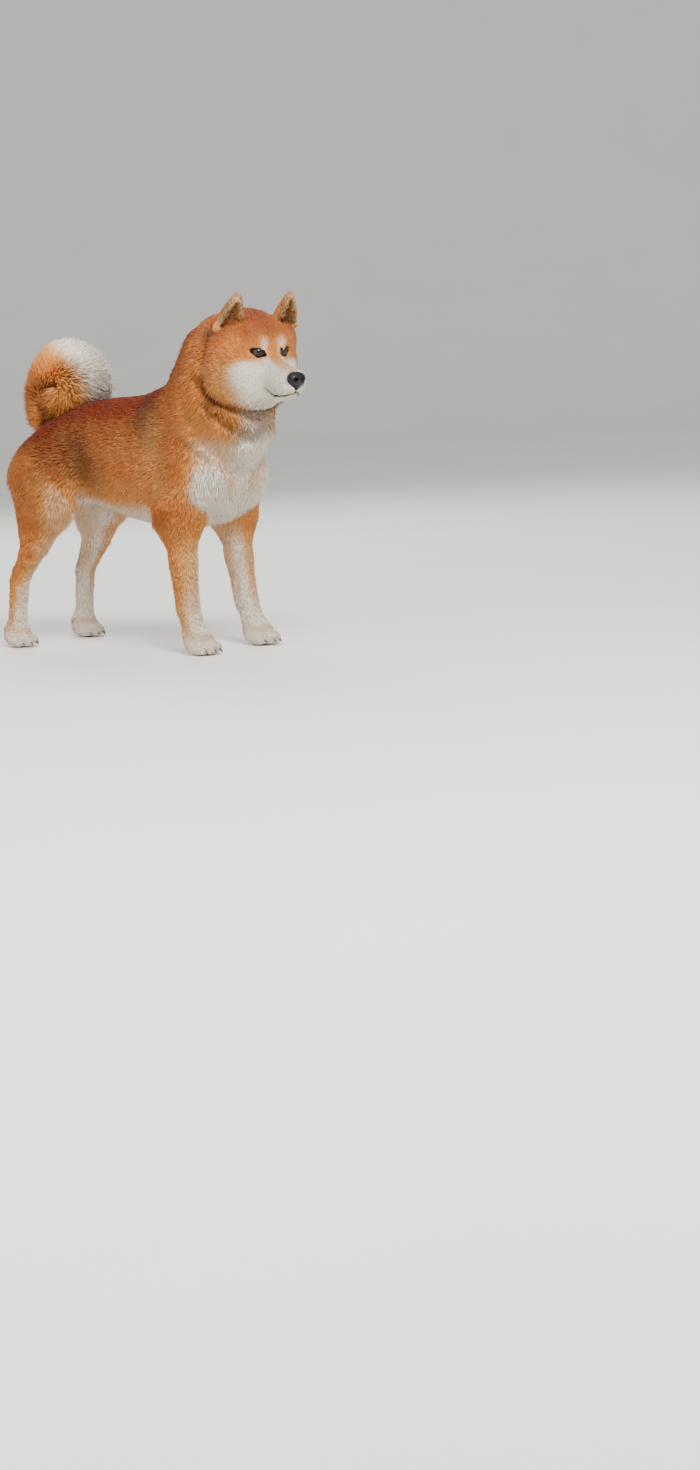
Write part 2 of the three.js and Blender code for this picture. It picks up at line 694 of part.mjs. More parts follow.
function makeHead() {
  const grid = [lines(-95, 135, headStep.x), lines(-92, 92, headStep.y), lines(-92, 100, headStep.z)];
  const toHead = headFrame.clone().invert();
  const point = new THREE.Vector3(...HEAD_CUT[0]).applyMatrix4(toHead);
  const normal = new THREE.Vector3(...HEAD_CUT[1]).transformDirection(toHead);
  const front = (inset) => beyond(point.toArray(), normal.toArray(), inset);
  const skin = meshOf(wholeInHead, ...grid);
  const grown = solid(grownFrom([0, 0, 0], 60, skin));
  let head = solid(skin).intersect(front(half));
  head = head.add(solid(tube(mouthLine(-1.7), 2.3, 3, 20)));
  head = head.subtract(solid(tube(mouthLine(0.2), 1.4, 3, 20)));
  head = head.subtract(solid(meshOf(swollen(nosePad, GAP), ...noseGrid)));
  const made = [];
  for (const s of [1, -1]) {
    const frame = eyeFrame(s);
    const out = eyeOut(s);
    const depth = EYE_BALL - 1.2;
    const ballCentre = new THREE.Vector3(EYE[0], s * EYE[1], EYE[2]);
    ballCentre.addScaledVector(out, -EYE_SINK);
    ballCentre.addScaledVector(out, reach(ballCentre.toArray(), out.toArray()) - depth);
    const opening = new THREE.ExtrudeGeometry(almond(s), {
      depth: 40,
      bevelEnabled: false,
      curveSegments: 5,
    });
    const rim = almond(s).getPoints(6).slice(0, -1);
    frame.setPosition(ballCentre);
    opening.applyMatrix4(frame);
    const lid = rim.map((p) => {
      const at = new THREE.Vector3(p.x, p.y, 0).applyMatrix4(frame);
      const r = reach(at.toArray(), out.toArray());
      return at.addScaledVector(out, r + 0.1);
    });
    const lidPath = new THREE.CatmullRomCurve3(lid, true);
    const bead = new THREE.Shape();
    bead.absarc(0, 0, 1.9, 0, 2 * Math.PI);
    const lidRing = new THREE.ExtrudeGeometry(bead, {
      steps: 18,
      extrudePath: lidPath,
      curveSegments: 3,
      bevelEnabled: false,
    });
    const ball = new THREE.SphereGeometry(EYE_BALL, 12, 8).translate(...ballCentre.toArray());
    const socket = new THREE.SphereGeometry(EYE_BALL + 2 * GAP, 12, 8).translate(...ballCentre.toArray());
    head = head.add(facingOut(lidRing)).subtract(solid(opening)).subtract(solid(socket));
    const where = s > 0 ? "left" : "right";
    made.push(nodeOf(`eye_${where}`, solid(ball), 0x1a0f0a, { roughness: 0.15, metalness: 0 }));
    const leaf = makeEar(s).subtract(grown);
    made.push(nodeOf(`ear_${where}`, leaf, RED));
  }
  const nose = solid(meshOf(nosePad, ...noseGrid)).subtract(nostril(1)).subtract(nostril(-1));
  made.push(nodeOf("nose", nose, 0x15110f, { roughness: 0.45, metalness: 0 }));
  made.push(nodeOf("head", head, RED));
  const group = new THREE.Group();
  group.applyMatrix4(headFrame);
  group.add(...made);
  return group;
}

// The tail: a path in its own plane, s along the curl's turn and h up, with the thickness there
const TAIL_PATH = [
  { s: -6, h: -20, r: 20 },
  { s: -34, h: 0, r: 18 },
  { s: -46, h: 24, r: 16 },
  { s: -47, h: 48, r: 17 },
  { s: -36, h: 70, r: 22 },
  { s: -12, h: 87, r: 30 },
  { s: 14, h: 82, r: 34 },
  { s: 26, h: 57, r: 35 },
  { s: 11, h: 31, r: 30 },
  { s: -6, h: 18, r: 22 },
];
const tailTurn = THREE.MathUtils.degToRad(TAIL_TURN);
const tailPoint = ({ s, h }) => [
  TAIL_ROOT[0] + s * Math.cos(tailTurn),
  TAIL_ROOT[1] + s * Math.sin(tailTurn),
  TAIL_ROOT[2] + h,
];
const CORE_SHARE = 0.5; // of the brush's radius: the rest is hair
const tailCore = together(
  8,
  ...TAIL_PATH.slice(1).map((end, i) =>
    limb(tailPoint(TAIL_PATH[i]), tailPoint(end), CORE_SHARE * TAIL_PATH[i].r, CORE_SHARE * end.r),
  ),
);

// A seeded draw between -1 and 1
function drawsFrom(seed) {
  let state = seed;
  return () => {
    state = (state + 0x6d2b79f5) | 0;
    let t = Math.imul(state ^ (state >>> 15), 1 | state);
    t = (t + Math.imul(t ^ (t >>> 7), 61 | t)) ^ t;
    return (((t ^ (t >>> 14)) >>> 0) / 2147483648) - 1;
  };
}

// The brush: rings of flat locks along the tail's path. Each rises from the core, bends over to lie
// along the tail, as wide as it is long, and tapers to a point on the outline
const LOCK_RINGS = [
  { u: 0, spread: 0.7, reach: 0.4, thick: 1 },
  { u: 0.34, spread: 1, reach: 0.84, thick: 0.85 },
  { u: 0.7, spread: 0.75, reach: 1.02, thick: 0.5 },
];
const LOCK_TIP = 1.12; // the tip's reach, as a share of the brush's radius
const BRUSH = { rows: 7, around: 5, run: 0.21, spread: 47, thick: 7, seed: 11 };
const brushPath = new THREE.CatmullRomCurve3(TAIL_PATH.map((p) => new THREE.Vector3(...tailPoint(p))));
const brushFlank = new THREE.Vector3(-Math.sin(tailTurn), Math.cos(tailTurn), 0);
// The point at t along the brush, turned by an angle about it, out by reach radii and lift millimetres
function brushPoint(t, angle, reach, lift) {
  const at = THREE.MathUtils.clamp(t, 0, 1);
  const along = brushPath.getTangentAt(at);
  const place = brushPath.getUtoTmapping(at) * (TAIL_PATH.length - 1);
  const i = Math.min(Math.floor(place), TAIL_PATH.length - 2);
  const radius = THREE.MathUtils.lerp(TAIL_PATH[i].r, TAIL_PATH[i + 1].r, place - i);
  const away = along.clone().cross(brushFlank).normalize();
  return brushPath
    .getPointAt(at)
    .addScaledVector(along, (t - at) * brushPath.getLength())
    .addScaledVector(brushFlank, Math.cos(angle) * (reach * radius + lift))
    .addScaledVector(away, Math.sin(angle) * (reach * radius + lift));
}

function lock(t, angle, run) {
  const spread = THREE.MathUtils.degToRad(BRUSH.spread);
  const points = [];
  for (const ring of LOCK_RINGS) {
    const [at, wide, lift] = [t + ring.u * run, ring.spread * spread, (ring.thick * BRUSH.thick) / 2];
    points.push(
      brushPoint(at, angle + wide, ring.reach, -lift),
      brushPoint(at, angle, ring.reach, lift),
      brushPoint(at, angle - wide, ring.reach, -lift),
      brushPoint(at, angle, ring.reach, -lift),
    );
  }
  points.push(brushPoint(t + run, angle, LOCK_TIP, 0));
  const sides = 4;
  const faces = [0, 1, 2, 0, 2, 3];
  for (let r = 0; r < LOCK_RINGS.length; r++)
    for (let i = 0; i < sides; i++) {
      const [a, b] = [r * sides + i, r * sides + ((i + 1) % sides)];
      const last = r === LOCK_RINGS.length - 1;
      if (last) faces.push(a, points.length - 1, b);
      else faces.push(a, b + sides, b, a, a + sides, b + sides);
    }
  const position = new Float32Array(points.flatMap((p) => p.toArray()));
  const geometry = new THREE.BufferGeometry()
    .setAttribute("position", new THREE.BufferAttribute(position, 3))
    .setIndex(faces);
  return facingOut(geometry);
}

function tailLocks() {
  const draw = drawsFrom(BRUSH.seed);
  const locks = [];
  for (let row = 0; row < BRUSH.rows; row++)
    for (let k = 0; k < BRUSH.around; k++) {
      const t = 0.06 + ((row + 0.12 * draw()) * 0.9) / BRUSH.rows;
      const turn = (2 * Math.PI * (k + (row % 2) / 2 + 0.12 * draw())) / BRUSH.around;
      locks.push(lock(t, turn, BRUSH.run * (1 + 0.12 * draw())));
    }
  return locks;
}

function makeTail() {
  const grid = [lines(-380, -210, 15), lines(-70, 80, 15), lines(290, 460, 15)];
  const core = solid(meshOf(tailCore, ...grid));
  const rump = solid(grownFrom([-290, 0, 290], 60, bodyMesh));
  const brush = wasm.Manifold.union([core, ...tailLocks()]);
  return nodeOf("tail", brush.subtract(rump), CREAM);
}

const dog = new THREE.Group();
dog.add(
  makeTorso(),
  makeNeck(),
  makeHead(),
  makeForeleg("foreleg_left", 1),
  makeForeleg("foreleg_right", -1),
  makeHindleg("hindleg_left", 1),
  makeHindleg("hindleg_right", -1),
  makePaw("forepaw_left", 0, FORE_TRACK / 2, 1, FORE_PAW_CUT),
  makePaw("forepaw_right", 0, -FORE_TRACK / 2, 1, FORE_PAW_CUT),
  makePaw("hindpaw_left", 2 - STANCE_LENGTH, HIND_TRACK / 2, HIND_PAW_SIZE, HIND_PAW_CUT),
  makePaw("hindpaw_right", 2 - STANCE_LENGTH, -HIND_TRACK / 2, HIND_PAW_SIZE, HIND_PAW_CUT),
  makeTail(),
);

// The origin: on the floor, under the middle of the dog
const bounds = new THREE.Box3().setFromObject(dog, true);
const middle = bounds.getCenter(new THREE.Vector3());
dog.position.set(-middle.x, -middle.y, 0);

export default dog;
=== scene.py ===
"""A red shiba inu, life size, standing still with its head up and its tail curled over the back.

Metres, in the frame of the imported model: +X is the way the body faces, +Y its left, +Z up, and
the floor is z = 0. One skin covers the whole body, and thousands of small tufts of hair lie over
it in the coat's own direction. Eyes, lids, nose, lips and claws are pieces of their own.
"""

from __future__ import annotations

import json
import logging
import math
from dataclasses import dataclass
from enum import Enum
from typing import Sequence

import bmesh
import bpy
import numpy as np
from mathutils import Matrix, Vector
from mathutils.bvhtree import BVHTree

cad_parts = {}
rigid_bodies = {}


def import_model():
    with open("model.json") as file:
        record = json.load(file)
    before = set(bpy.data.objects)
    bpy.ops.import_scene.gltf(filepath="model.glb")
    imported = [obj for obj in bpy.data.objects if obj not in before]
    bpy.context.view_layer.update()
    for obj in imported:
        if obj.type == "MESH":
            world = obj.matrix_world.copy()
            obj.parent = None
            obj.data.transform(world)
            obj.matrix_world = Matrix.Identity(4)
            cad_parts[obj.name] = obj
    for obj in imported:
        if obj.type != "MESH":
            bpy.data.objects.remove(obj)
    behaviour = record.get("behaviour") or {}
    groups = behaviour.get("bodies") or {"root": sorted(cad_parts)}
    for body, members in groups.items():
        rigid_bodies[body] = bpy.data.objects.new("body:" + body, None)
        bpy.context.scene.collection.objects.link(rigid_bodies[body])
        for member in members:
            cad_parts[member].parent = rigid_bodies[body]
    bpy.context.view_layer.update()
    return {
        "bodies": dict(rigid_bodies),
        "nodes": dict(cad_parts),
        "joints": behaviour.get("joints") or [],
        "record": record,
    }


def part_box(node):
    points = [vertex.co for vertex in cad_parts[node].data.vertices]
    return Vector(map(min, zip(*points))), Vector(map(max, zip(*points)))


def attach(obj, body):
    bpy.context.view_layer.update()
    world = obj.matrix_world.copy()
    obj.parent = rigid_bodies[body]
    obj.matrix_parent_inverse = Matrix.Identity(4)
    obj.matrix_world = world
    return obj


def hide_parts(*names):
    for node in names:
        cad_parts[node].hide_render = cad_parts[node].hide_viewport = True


log = logging.getLogger("shiba")

MM = 0.001
BODY = "root"
UV_NAME = "OFBake"
BUILD_SHIFT = 101.45  # millimetres from the fore feet's x to the frame's origin
SIDES = (1, -1)  # left and right, as signs of y
WHOLE_WIDTH = 200.0  # a half size in y that takes in both sides of the body

Array = np.ndarray


class Region(Enum):
    """The parts of the body that differ in the length and lie of their coat."""

    TORSO = 0
    NECK = 1
    HEAD = 2
    EAR = 3
    FORELEG = 4
    HINDLEG = 5
    PAW = 6
    TAIL = 7


NODE_REGION: dict[str, Region] = {
    "torso": Region.TORSO,
    "neck": Region.NECK,
    "head": Region.HEAD,
    "ear_left": Region.EAR,
    "ear_right": Region.EAR,
    "foreleg_left": Region.FORELEG,
    "foreleg_right": Region.FORELEG,
    "hindleg_left": Region.HINDLEG,
    "hindleg_right": Region.HINDLEG,
    "forepaw_left": Region.PAW,
    "forepaw_right": Region.PAW,
    "hindpaw_left": Region.PAW,
    "hindpaw_right": Region.PAW,
}


# ---------------------------------------------------------------------------------------------
# Numbers over many points


def rise(values: Array, low: float, high: float) -> Array:
    """A smooth step from 0 at low to 1 at high, which may be the smaller number."""
    t = np.clip((values - low) / (high - low), 0.0, 1.0)
    return t * t * (3 - 2 * t)


def spot(
    points: Array, centre: Sequence[float], radii: Sequence[float], soft: float = 0.45
) -> Array:
    """A soft round patch: 1 inside an ellipsoid and 0 outside.

    Args:
        points: The places, one row each.
        centre: The ellipsoid's middle.
        radii: Its three half sizes.
        soft: The width of the soft edge, as a share of the radii.

    Returns:
        One number for each place.
    """
    far = np.linalg.norm((points - np.array(centre)) / np.array(radii), axis=1)
    return rise(far, 1 + soft / 2, 1 - soft / 2)


def pair(
    points: Array, centre: Sequence[float], radii: Sequence[float], soft: float = 0.45
) -> Array:
    """The same soft patch on the left and on the right. See spot."""
    x, y, z = centre
    return sum(spot(points, (x, side * y, z), radii, soft) for side in SIDES)


def swell(values: Array, at: float, width: float) -> Array:
    """A soft bump: 1 where the values are at, and fading over a width on both sides."""
    return np.exp(-(((values - at) / width) ** 2))


def unit(vectors: Array) -> Array:
    """The vectors at length 1."""
    return vectors / np.maximum(np.linalg.norm(vectors, axis=1, keepdims=True), 1e-9)


def mixed(a: Array, b: Array, share: Array) -> Array:
    """Between a and b, by a share for each row."""
    if a.ndim > 1 or b.ndim > 1:
        share = share[:, None]
    return a * (1 - share) + b * share


def linear(colour: int) -> tuple[float, float, float, float]:
    """A screen colour as the linear colour that shaders use."""
    parts = [((colour >> shift) & 255) / 255 for shift in (16, 8, 0)]
    red, green, blue = (c / 12.92 if c <= 0.04045 else ((c + 0.055) / 1.055) ** 2.4 for c in parts)
    return red, green, blue, 1.0


# ---------------------------------------------------------------------------------------------
# Node trees


class Number:
    """A number socket of a node tree, which Python's operators extend with Math nodes."""

    def __init__(self, nodes: Nodes, socket: bpy.types.NodeSocket) -> None:
        """Wraps a socket."""
        self.nodes = nodes
        self.socket = socket

    def _math(self, operation: str, a: Number | float, b: Number | float) -> Number:
        """A Math node on two values."""
        made = self.nodes.add("ShaderNodeMath", {"operation": operation}, {0: a, 1: b})
        return Number(self.nodes, made)

    def __add__(self, other: Number | float) -> Number:
        """Sum."""
        return self._math("ADD", self, other)

    def __sub__(self, other: Number | float) -> Number:
        """Difference."""
        return self._math("SUBTRACT", self, other)

    def __rsub__(self, other: Number | float) -> Number:
        """Difference from a plain number."""
        return self._math("SUBTRACT", other, self)

    def __mul__(self, other: Number | float) -> Number:
        """Product."""
        return self._math("MULTIPLY", self, other)

    __radd__ = __add__
    __rmul__ = __mul__

    def step(self, low: float, high: float) -> Number:
        """A smooth step from 0 at low to 1 at high."""
        made = self.nodes.add(
            "ShaderNodeMapRange",
            {"interpolation_type": "SMOOTHSTEP", "clamp": True},
            {"Value": self, "From Min": low, "From Max": high, "To Min": 0.0, "To Max": 1.0},
        )
        return Number(self.nodes, made)


class Nodes:
    """A node tree, and one way to add any node to it."""

    def __init__(self, tree: bpy.types.NodeTree) -> None:
        """Wraps a tree."""
        self.tree = tree

    def feed(self, socket: bpy.types.NodeSocket, value: object) -> None:
        """Links a value to a socket, or sets the socket to it."""
        if isinstance(value, Number):
            value = value.socket
        if isinstance(value, bpy.types.NodeSocket):
            self.tree.links.new(value, socket)
        else:
            socket.default_value = value

    def dress(self, shader: bpy.types.Node, inputs: dict[str, object]) -> None:
        """Links or sets a shader's sockets by their names."""
        for name, value in inputs.items():
            self.feed(shader.inputs[name], value)

    def put(
        self,
        kind: str,
        settings: dict[str, object] | None = None,
        inputs: dict[str | int, object] | None = None,
    ) -> bpy.types.Node:
        """Adds a node.

        Args:
            kind: The node's type.
            settings: Its own properties, set first.
            inputs: Values or links for its sockets, by name or number.

        Returns:
            The node.
        """
        node = self.tree.nodes.new(kind)
        for name, value in (settings or {}).items():
            setattr(node, name, value)
        for key, value in (inputs or {}).items():
            self.feed(self._pick(node.inputs, key), value)
        return node

    def add(
        self,
        kind: str,
        settings: dict[str, object] | None = None,
        inputs: dict[str | int, object] | None = None,
        out: str | int = 0,
    ) -> bpy.types.NodeSocket:
        """Adds a node and gives one of its outputs. See put."""
        return self._pick(self.put(kind, settings, inputs).outputs, out)

    def number(self, kind: str, *args: object, **more: object) -> Number:
        """Adds a node and wraps its output as a number. See put."""
        return Number(self, self.add(kind, *args, **more))

    def colour_mix(
        self, a: object, b: object, share: object, blend: str = "MIX"
    ) -> bpy.types.NodeSocket:
        """A mix of two colours.

        Args:
            a: The colour at a share of 0.
            b: The colour at a share of 1.
            share: A number, or a link to one.
            blend: How the second colour acts on the first.

        Returns:
            The mixed colour's socket.
        """
        settings = {"data_type": "RGBA", "blend_type": blend, "clamp_factor": True}
        node = self.put("ShaderNodeMix", settings)
        sockets = {s.identifier: s for s in node.inputs}
        for name, value in (("Factor_Float", share), ("A_Color", a), ("B_Color", b)):
            self.feed(sockets[name], value)
        return next(s for s in node.outputs if s.identifier == "Result_Color")

    @staticmethod
    def _pick(sockets: Sequence[bpy.types.NodeSocket], key: str | int) -> bpy.types.NodeSocket:
        """The socket of that name or number among those that are in use."""
        shown = [s for s in sockets if s.enabled]
        return shown[key] if isinstance(key, int) else next(s for s in shown if s.name == key)


# ---------------------------------------------------------------------------------------------
# Finishes


class Finish:
    """A procedural material: subclasses draw it."""

    name: str

    def make(self) -> bpy.types.Material:
        """Builds the material."""
        material = bpy.data.materials.new(self.name)
        material.use_nodes = True
        material.node_tree.nodes.clear()
        nodes = Nodes(material.node_tree)
        shader = nodes.put("ShaderNodeBsdfPrincipled")
        self.draw(nodes, shader)
        nodes.put("ShaderNodeOutputMaterial", inputs={"Surface": shader.outputs[0]})
        return material

    def draw(self, nodes: Nodes, shader: bpy.types.Node) -> None:
        """Sets the shader's sockets."""
        raise NotImplementedError

    @staticmethod
    def noise(nodes: Nodes, scale: float, detail: float) -> Number:
        """Noise by the place on the piece."""
        place = nodes.add("ShaderNodeTexCoord", out="Object")
        inputs = {"Vector": place, "Scale": scale, "Detail": detail}
        return nodes.number("ShaderNodeTexNoise", inputs=inputs)

    @staticmethod
    def stored(nodes: Nodes, name: str) -> Number:
        """A number that is stored on the mesh's points."""
        return nodes.number("ShaderNodeAttribute", {"attribute_name": name}, out="Fac")

    @staticmethod
    def bump(nodes: Nodes, height: Number, strength: float, depth: float) -> bpy.types.NodeSocket:
        """A surface bumped by a height, with the depth in metres."""
        inputs = {"Height": height, "Strength": strength, "Distance": depth}
        return nodes.add("ShaderNodeBump", inputs=inputs)


@dataclass(frozen=True)
class CoatFinish(Finish):
    """Red coat with cream under parts and dark marks, and painted shade in creases and hollows,
    drawn from the marks stored on skin and tufts alike.
    """

    name: str = "shiba_coat"
    red: int = 0xC4601F
    gold: int = 0xDC9A50
    rust: int = 0x8F340B
    cream: int = 0xF1E6D4
    # dark brown of the dark marks, also the painted shade in the folds, the ears' cups, the curl's
    # hole and under the jaw
    dark: int = 0x3C1A0A
    roughness: float = 0.8
    shine: float = 0.15
    sheen: float = 0.05
    sheen_roughness: float = 0.4
    cloud_scale: float = 38.0
    fleck_scale: float = 420.0
    fleck_depth: float = 0.0008

    def draw(self, nodes: Nodes, shader: bpy.types.Node) -> None:
        """Mixes the coat's colours by its marks and painted shade, varies them from tuft to tuft,
        and paints shade at the tufts' roots.
        """
        marks = nodes.add("ShaderNodeAttribute", {"attribute_name": "markings"}, out="Color")
        split = nodes.put("ShaderNodeSeparateColor", inputs={0: marks})
        cream, rust, dark = (Number(nodes, split.outputs[i]) for i in range(3))
        tone, along = self.stored(nodes, "tone"), self.stored(nodes, "along")
        cloud = self.noise(nodes, self.cloud_scale, 4.0)
        fleck = self.noise(nodes, self.fleck_scale, 2.0)
        ground = linear(self.red)
        for colour, share in (
            (self.gold, cloud.step(0.38, 0.66) * 0.3 + tone * 0.3 + along * 0.15),
            (self.rust, rust),
            (self.gold, cream.step(0.0, 0.5)),
            (self.cream, cream.step(0.3, 0.95)),
            # dark marks and painted shade, from the third channel
            (self.dark, dark),
        ):
            ground = nodes.colour_mix(ground, linear(colour), share)
        # tone and fleck vary at random; along darkens each tuft's root, and the skin, as painted
        # shade
        light = (0.66 + tone * 0.22 + along * 0.3) * (0.9 + fleck * 0.2)
        tone_and_root_shade = nodes.add("ShaderNodeCombineColor", inputs={0: light, 1: light, 2: light})
        looks = {
            "Base Color": nodes.colour_mix(ground, tone_and_root_shade, 1.0, "MULTIPLY"),
            "Normal": self.bump(nodes, fleck, 0.5, self.fleck_depth),
            "Roughness": self.roughness,
            "Specular IOR Level": self.shine,
            "Sheen Weight": self.sheen,
            "Sheen Roughness": self.sheen_roughness,
        }
        nodes.dress(shader, looks)


@dataclass(frozen=True)
class WetSkinFinish(Finish):
    """Bare dark skin: pebbled on the nose, smooth on lips and lids."""

    name: str = "bare_skin"
    ground: int = 0x070505
    edge: int = 0x14100E
    pebble: float = 900.0
    depth: float = 0.0005
    roughness: float = 0.4
    shine: float = 0.35
    cloud_scale: float = 160.0

    def draw(self, nodes: Nodes, shader: bpy.types.Node) -> None:
        """Draws a cell pattern in the bump, with lighter tops."""
        place = nodes.add("ShaderNodeTexCoord", out="Object")
        cell = nodes.number(
            "ShaderNodeTexVoronoi",
            {"feature": "F1"},
            {"Vector": place, "Scale": self.pebble},
            out="Distance",
        )
        cloud = self.noise(nodes, self.cloud_scale, 3.0)
        top = cell.step(0.55, 0.1)
        share = top * 0.5 + cloud * 0.4
        looks = {
            "Base Color": nodes.colour_mix(linear(self.ground), linear(self.edge), share),
            "Normal": self.bump(nodes, top + cloud * 0.4, 0.6, self.depth),
            "Roughness": self.roughness - 0.12 + cloud * 0.24,
            "Specular IOR Level": self.shine,
        }
        nodes.dress(shader, looks)


@dataclass(frozen=True)
class EyeFinish(Finish):
    """A wet dark brown eye: black pupil, brown iris and dark rim, by the distance from its gaze."""

    name: str = "eye_brown"
    pupil: int = 0x050404
    iris: int = 0x241007
    iris_inner: int = 0x3F2210
    rim: int = 0x0C0706
    white: int = 0x33261F
    roughness: float = 0.08
    shine: float = 0.4
    ray_scale: float = 900.0

    def draw(self, nodes: Nodes, shader: bpy.types.Node) -> None:
        """Draws rings round the gaze, with fine rays in the iris."""
        out = self.stored(nodes, "from_gaze")
        rays = self.noise(nodes, self.ray_scale, 2.0)
        iris = nodes.colour_mix(linear(self.iris_inner), linear(self.iris), out.step(0.34, 0.7))
        iris = nodes.colour_mix(iris, linear(self.rim), rays.step(0.45, 0.7) * 0.5)
        colour = nodes.colour_mix(linear(self.pupil), iris, out.step(0.3, 0.35))
        colour = nodes.colour_mix(colour, linear(self.rim), out.step(0.66, 0.76))
        colour = nodes.colour_mix(colour, linear(self.white), out.step(0.92, 1.05))
        looks = {
            "Base Color": colour,
            "Roughness": self.roughness,
            "Specular IOR Level": self.shine,
        }
        nodes.dress(shader, looks)


@dataclass(frozen=True)
class ClawFinish(Finish):
    """Dark horn, streaked along its length and paler at the root."""

    name: str = "claw_horn"
    horn: int = 0x2A211C
    pale: int = 0x7A6756
    roughness: float = 0.35
    streak_scale: float = 700.0

    def draw(self, nodes: Nodes, shader: bpy.types.Node) -> None:
        """Streaks a dark ground and dulls it with fine scratches."""
        streak = self.noise(nodes, self.streak_scale, 3.0)
        share = (1 - self.stored(nodes, "along")) * 0.6 + streak * 0.3
        colour = nodes.colour_mix(linear(self.horn), linear(self.pale), share)
        nodes.dress(shader, {"Base Color": colour, "Roughness": self.roughness + streak * 0.2})


@dataclass(frozen=True)
class FloorFinish(Finish):
    """A plain pale matt floor with the faintest unevenness."""

    name: str = "studio_floor"
    pale: int = 0xF1EFEB
    shade: int = 0xE9E7E2
    roughness: float = 0.85

    def draw(self, nodes: Nodes, shader: bpy.types.Node) -> None:
        """Mixes two close tones."""
        cloud = self.noise(nodes, 3.0, 3.0)
        colour = nodes.colour_mix(linear(self.pale), linear(self.shade), cloud)
        nodes.dress(shader, {"Base Color": colour, "Roughness": self.roughness})


# ---------------------------------------------------------------------------------------------
# Meshes


def object_of(name: str, mesh: bpy.types.Mesh) -> bpy.types.Object:
    """A scene object, at the origin, that shows a mesh."""
    made = bpy.data.objects.new(name, mesh)
    bpy.context.scene.collection.objects.link(made)
    return made


def mesh_of(name: str, points: Array, faces: Sequence[Sequence[int]]) -> bpy.types.Mesh:
    """A smooth shaded mesh with its faces turned outwards."""
    mesh = bpy.data.meshes.new(name)
    mesh.from_pydata(np.asarray(points, float).tolist(), [], [list(map(int, f)) for f in faces])
    work = bmesh.new()
    work.from_mesh(mesh)
    bmesh.ops.recalc_face_normals(work, faces=work.faces)
    work.to_mesh(mesh)
    work.free()
    mesh.polygons.foreach_set("use_smooth", np.ones(len(mesh.polygons), bool))
    return mesh


def ring_faces(rings: int, sides: int, closed: bool = False) -> list[list[int]]:
    """Faces that join rings of equal point counts.

    Args:
        rings: How many rings there are.
        sides: The points of each.
        closed: Whether the last ring joins the first; otherwise the ends are capped.

    Returns:
        The faces, as lists of point numbers.
    """
    faces = []
    for r in range(rings if closed else rings - 1):
        a, b = r * sides, ((r + 1) % rings) * sides
        for i in range(sides):
            j = (i + 1) % sides
            faces.append([a + i, a + j, b + j, b + i])
    if not closed:
        faces.append(list(range(sides))[::-1])
        faces.append([(rings - 1) * sides + i for i in range(sides)])
    return faces


def coordinates(mesh: bpy.types.Mesh) -> Array:
    """The mesh's points, one row each."""
    flat = np.zeros(len(mesh.vertices) * 3)
    mesh.vertices.foreach_get("co", flat)
    return flat.reshape(-1, 3)


def normals(mesh: bpy.types.Mesh) -> Array:
    """The mesh's point normals, one row each."""
    flat = np.zeros(len(mesh.vertices) * 3, np.float32)
    mesh.vertex_normals.foreach_get("vector", flat)
    return flat.reshape(-1, 3).astype(float)


def move_to(mesh: bpy.types.Mesh, points: Array) -> None:
    """Moves the mesh's points."""
    mesh.vertices.foreach_set("co", points.astype(np.float32).ravel())
    mesh.update()


def store(mesh: bpy.types.Mesh, name: str, values: Array) -> None:
    """Stores a number, vector or colour for each point, by the values' width."""
    width = 1 if values.ndim == 1 else values.shape[1]
    kind = {1: "FLOAT", 3: "FLOAT_VECTOR", 4: "FLOAT_COLOR"}[width]
    field = {1: "value", 3: "vector", 4: "color"}[width]
    attribute = mesh.attributes.new(name, kind, "POINT")
    attribute.data.foreach_set(field, values.astype(np.float32).ravel())


def merged_copy(node: bpy.types.Object) -> bmesh.types.BMesh:
    """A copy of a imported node's mesh with its loose triangles joined at their corners."""
    work = bmesh.new()
    work.from_mesh(node.data)
    bmesh.ops.remove_doubles(work, verts=work.verts, dist=2e-5)
    return work


def made_real(piece: bpy.types.Object) -> bpy.types.Mesh:
    """What an object's modifiers make of it, as a plain mesh."""
    graph = bpy.context.evaluated_depsgraph_get()
    return bpy.data.meshes.new_from_object(piece.evaluated_get(graph), depsgraph=graph)


def remeshed(mesh: bpy.types.Mesh, voxel: float) -> bpy.types.Mesh:
    """One closed surface of even cells round everything in the mesh."""
    holder = object_of("remesh_work", mesh)
    modifier = holder.modifiers.new("cells", "REMESH")
    modifier.mode = "VOXEL"
    modifier.voxel_size = voxel
    modifier.use_smooth_shade = True
    made = made_real(holder)
    bpy.data.objects.remove(holder)
    return made


def surface_tree(mesh: bpy.types.Mesh) -> BVHTree:
    """A tree of the mesh's faces, to cast rays on."""
    return BVHTree.FromPolygons([v.co for v in mesh.vertices], [p.vertices for p in mesh.polygons])


class Neighbours:
    """A mesh's edges, for averages over neighbouring points."""

    def __init__(self, mesh: bpy.types.Mesh) -> None:
        """Reads the edges."""
        flat = np.zeros(len(mesh.edges) * 2, np.int32)
        mesh.edges.foreach_get("vertices", flat)
        a, b = flat.reshape(-1, 2).T
        self.start, self.end = np.concatenate([a, b]), np.concatenate([b, a])
        self.count = len(mesh.vertices)
        self.degree = np.maximum(np.bincount(self.start, minlength=self.count), 1)

    def average(self, values: Array) -> Array:
        """Each point's mean over its neighbours."""
        columns = values if values.ndim > 1 else values[:, None]
        summed = [
            np.bincount(self.start, columns[self.end, i], minlength=self.count)
            for i in range(columns.shape[1])
        ]
        mean = np.stack(summed, 1) / self.degree[:, None]
        return mean if values.ndim > 1 else mean[:, 0]

    def largest(self) -> Array:
        """Whether each point belongs to the largest joined surface."""
        label = np.arange(self.count)
        while True:
            low = label.copy()
            np.minimum.at(low, self.start, label[self.end])
            low = np.minimum(low, low[low])
            if np.array_equal(low, label):
                break
            label = low
        return label == np.bincount(label).argmax()


# ---------------------------------------------------------------------------------------------
# The dog's own places


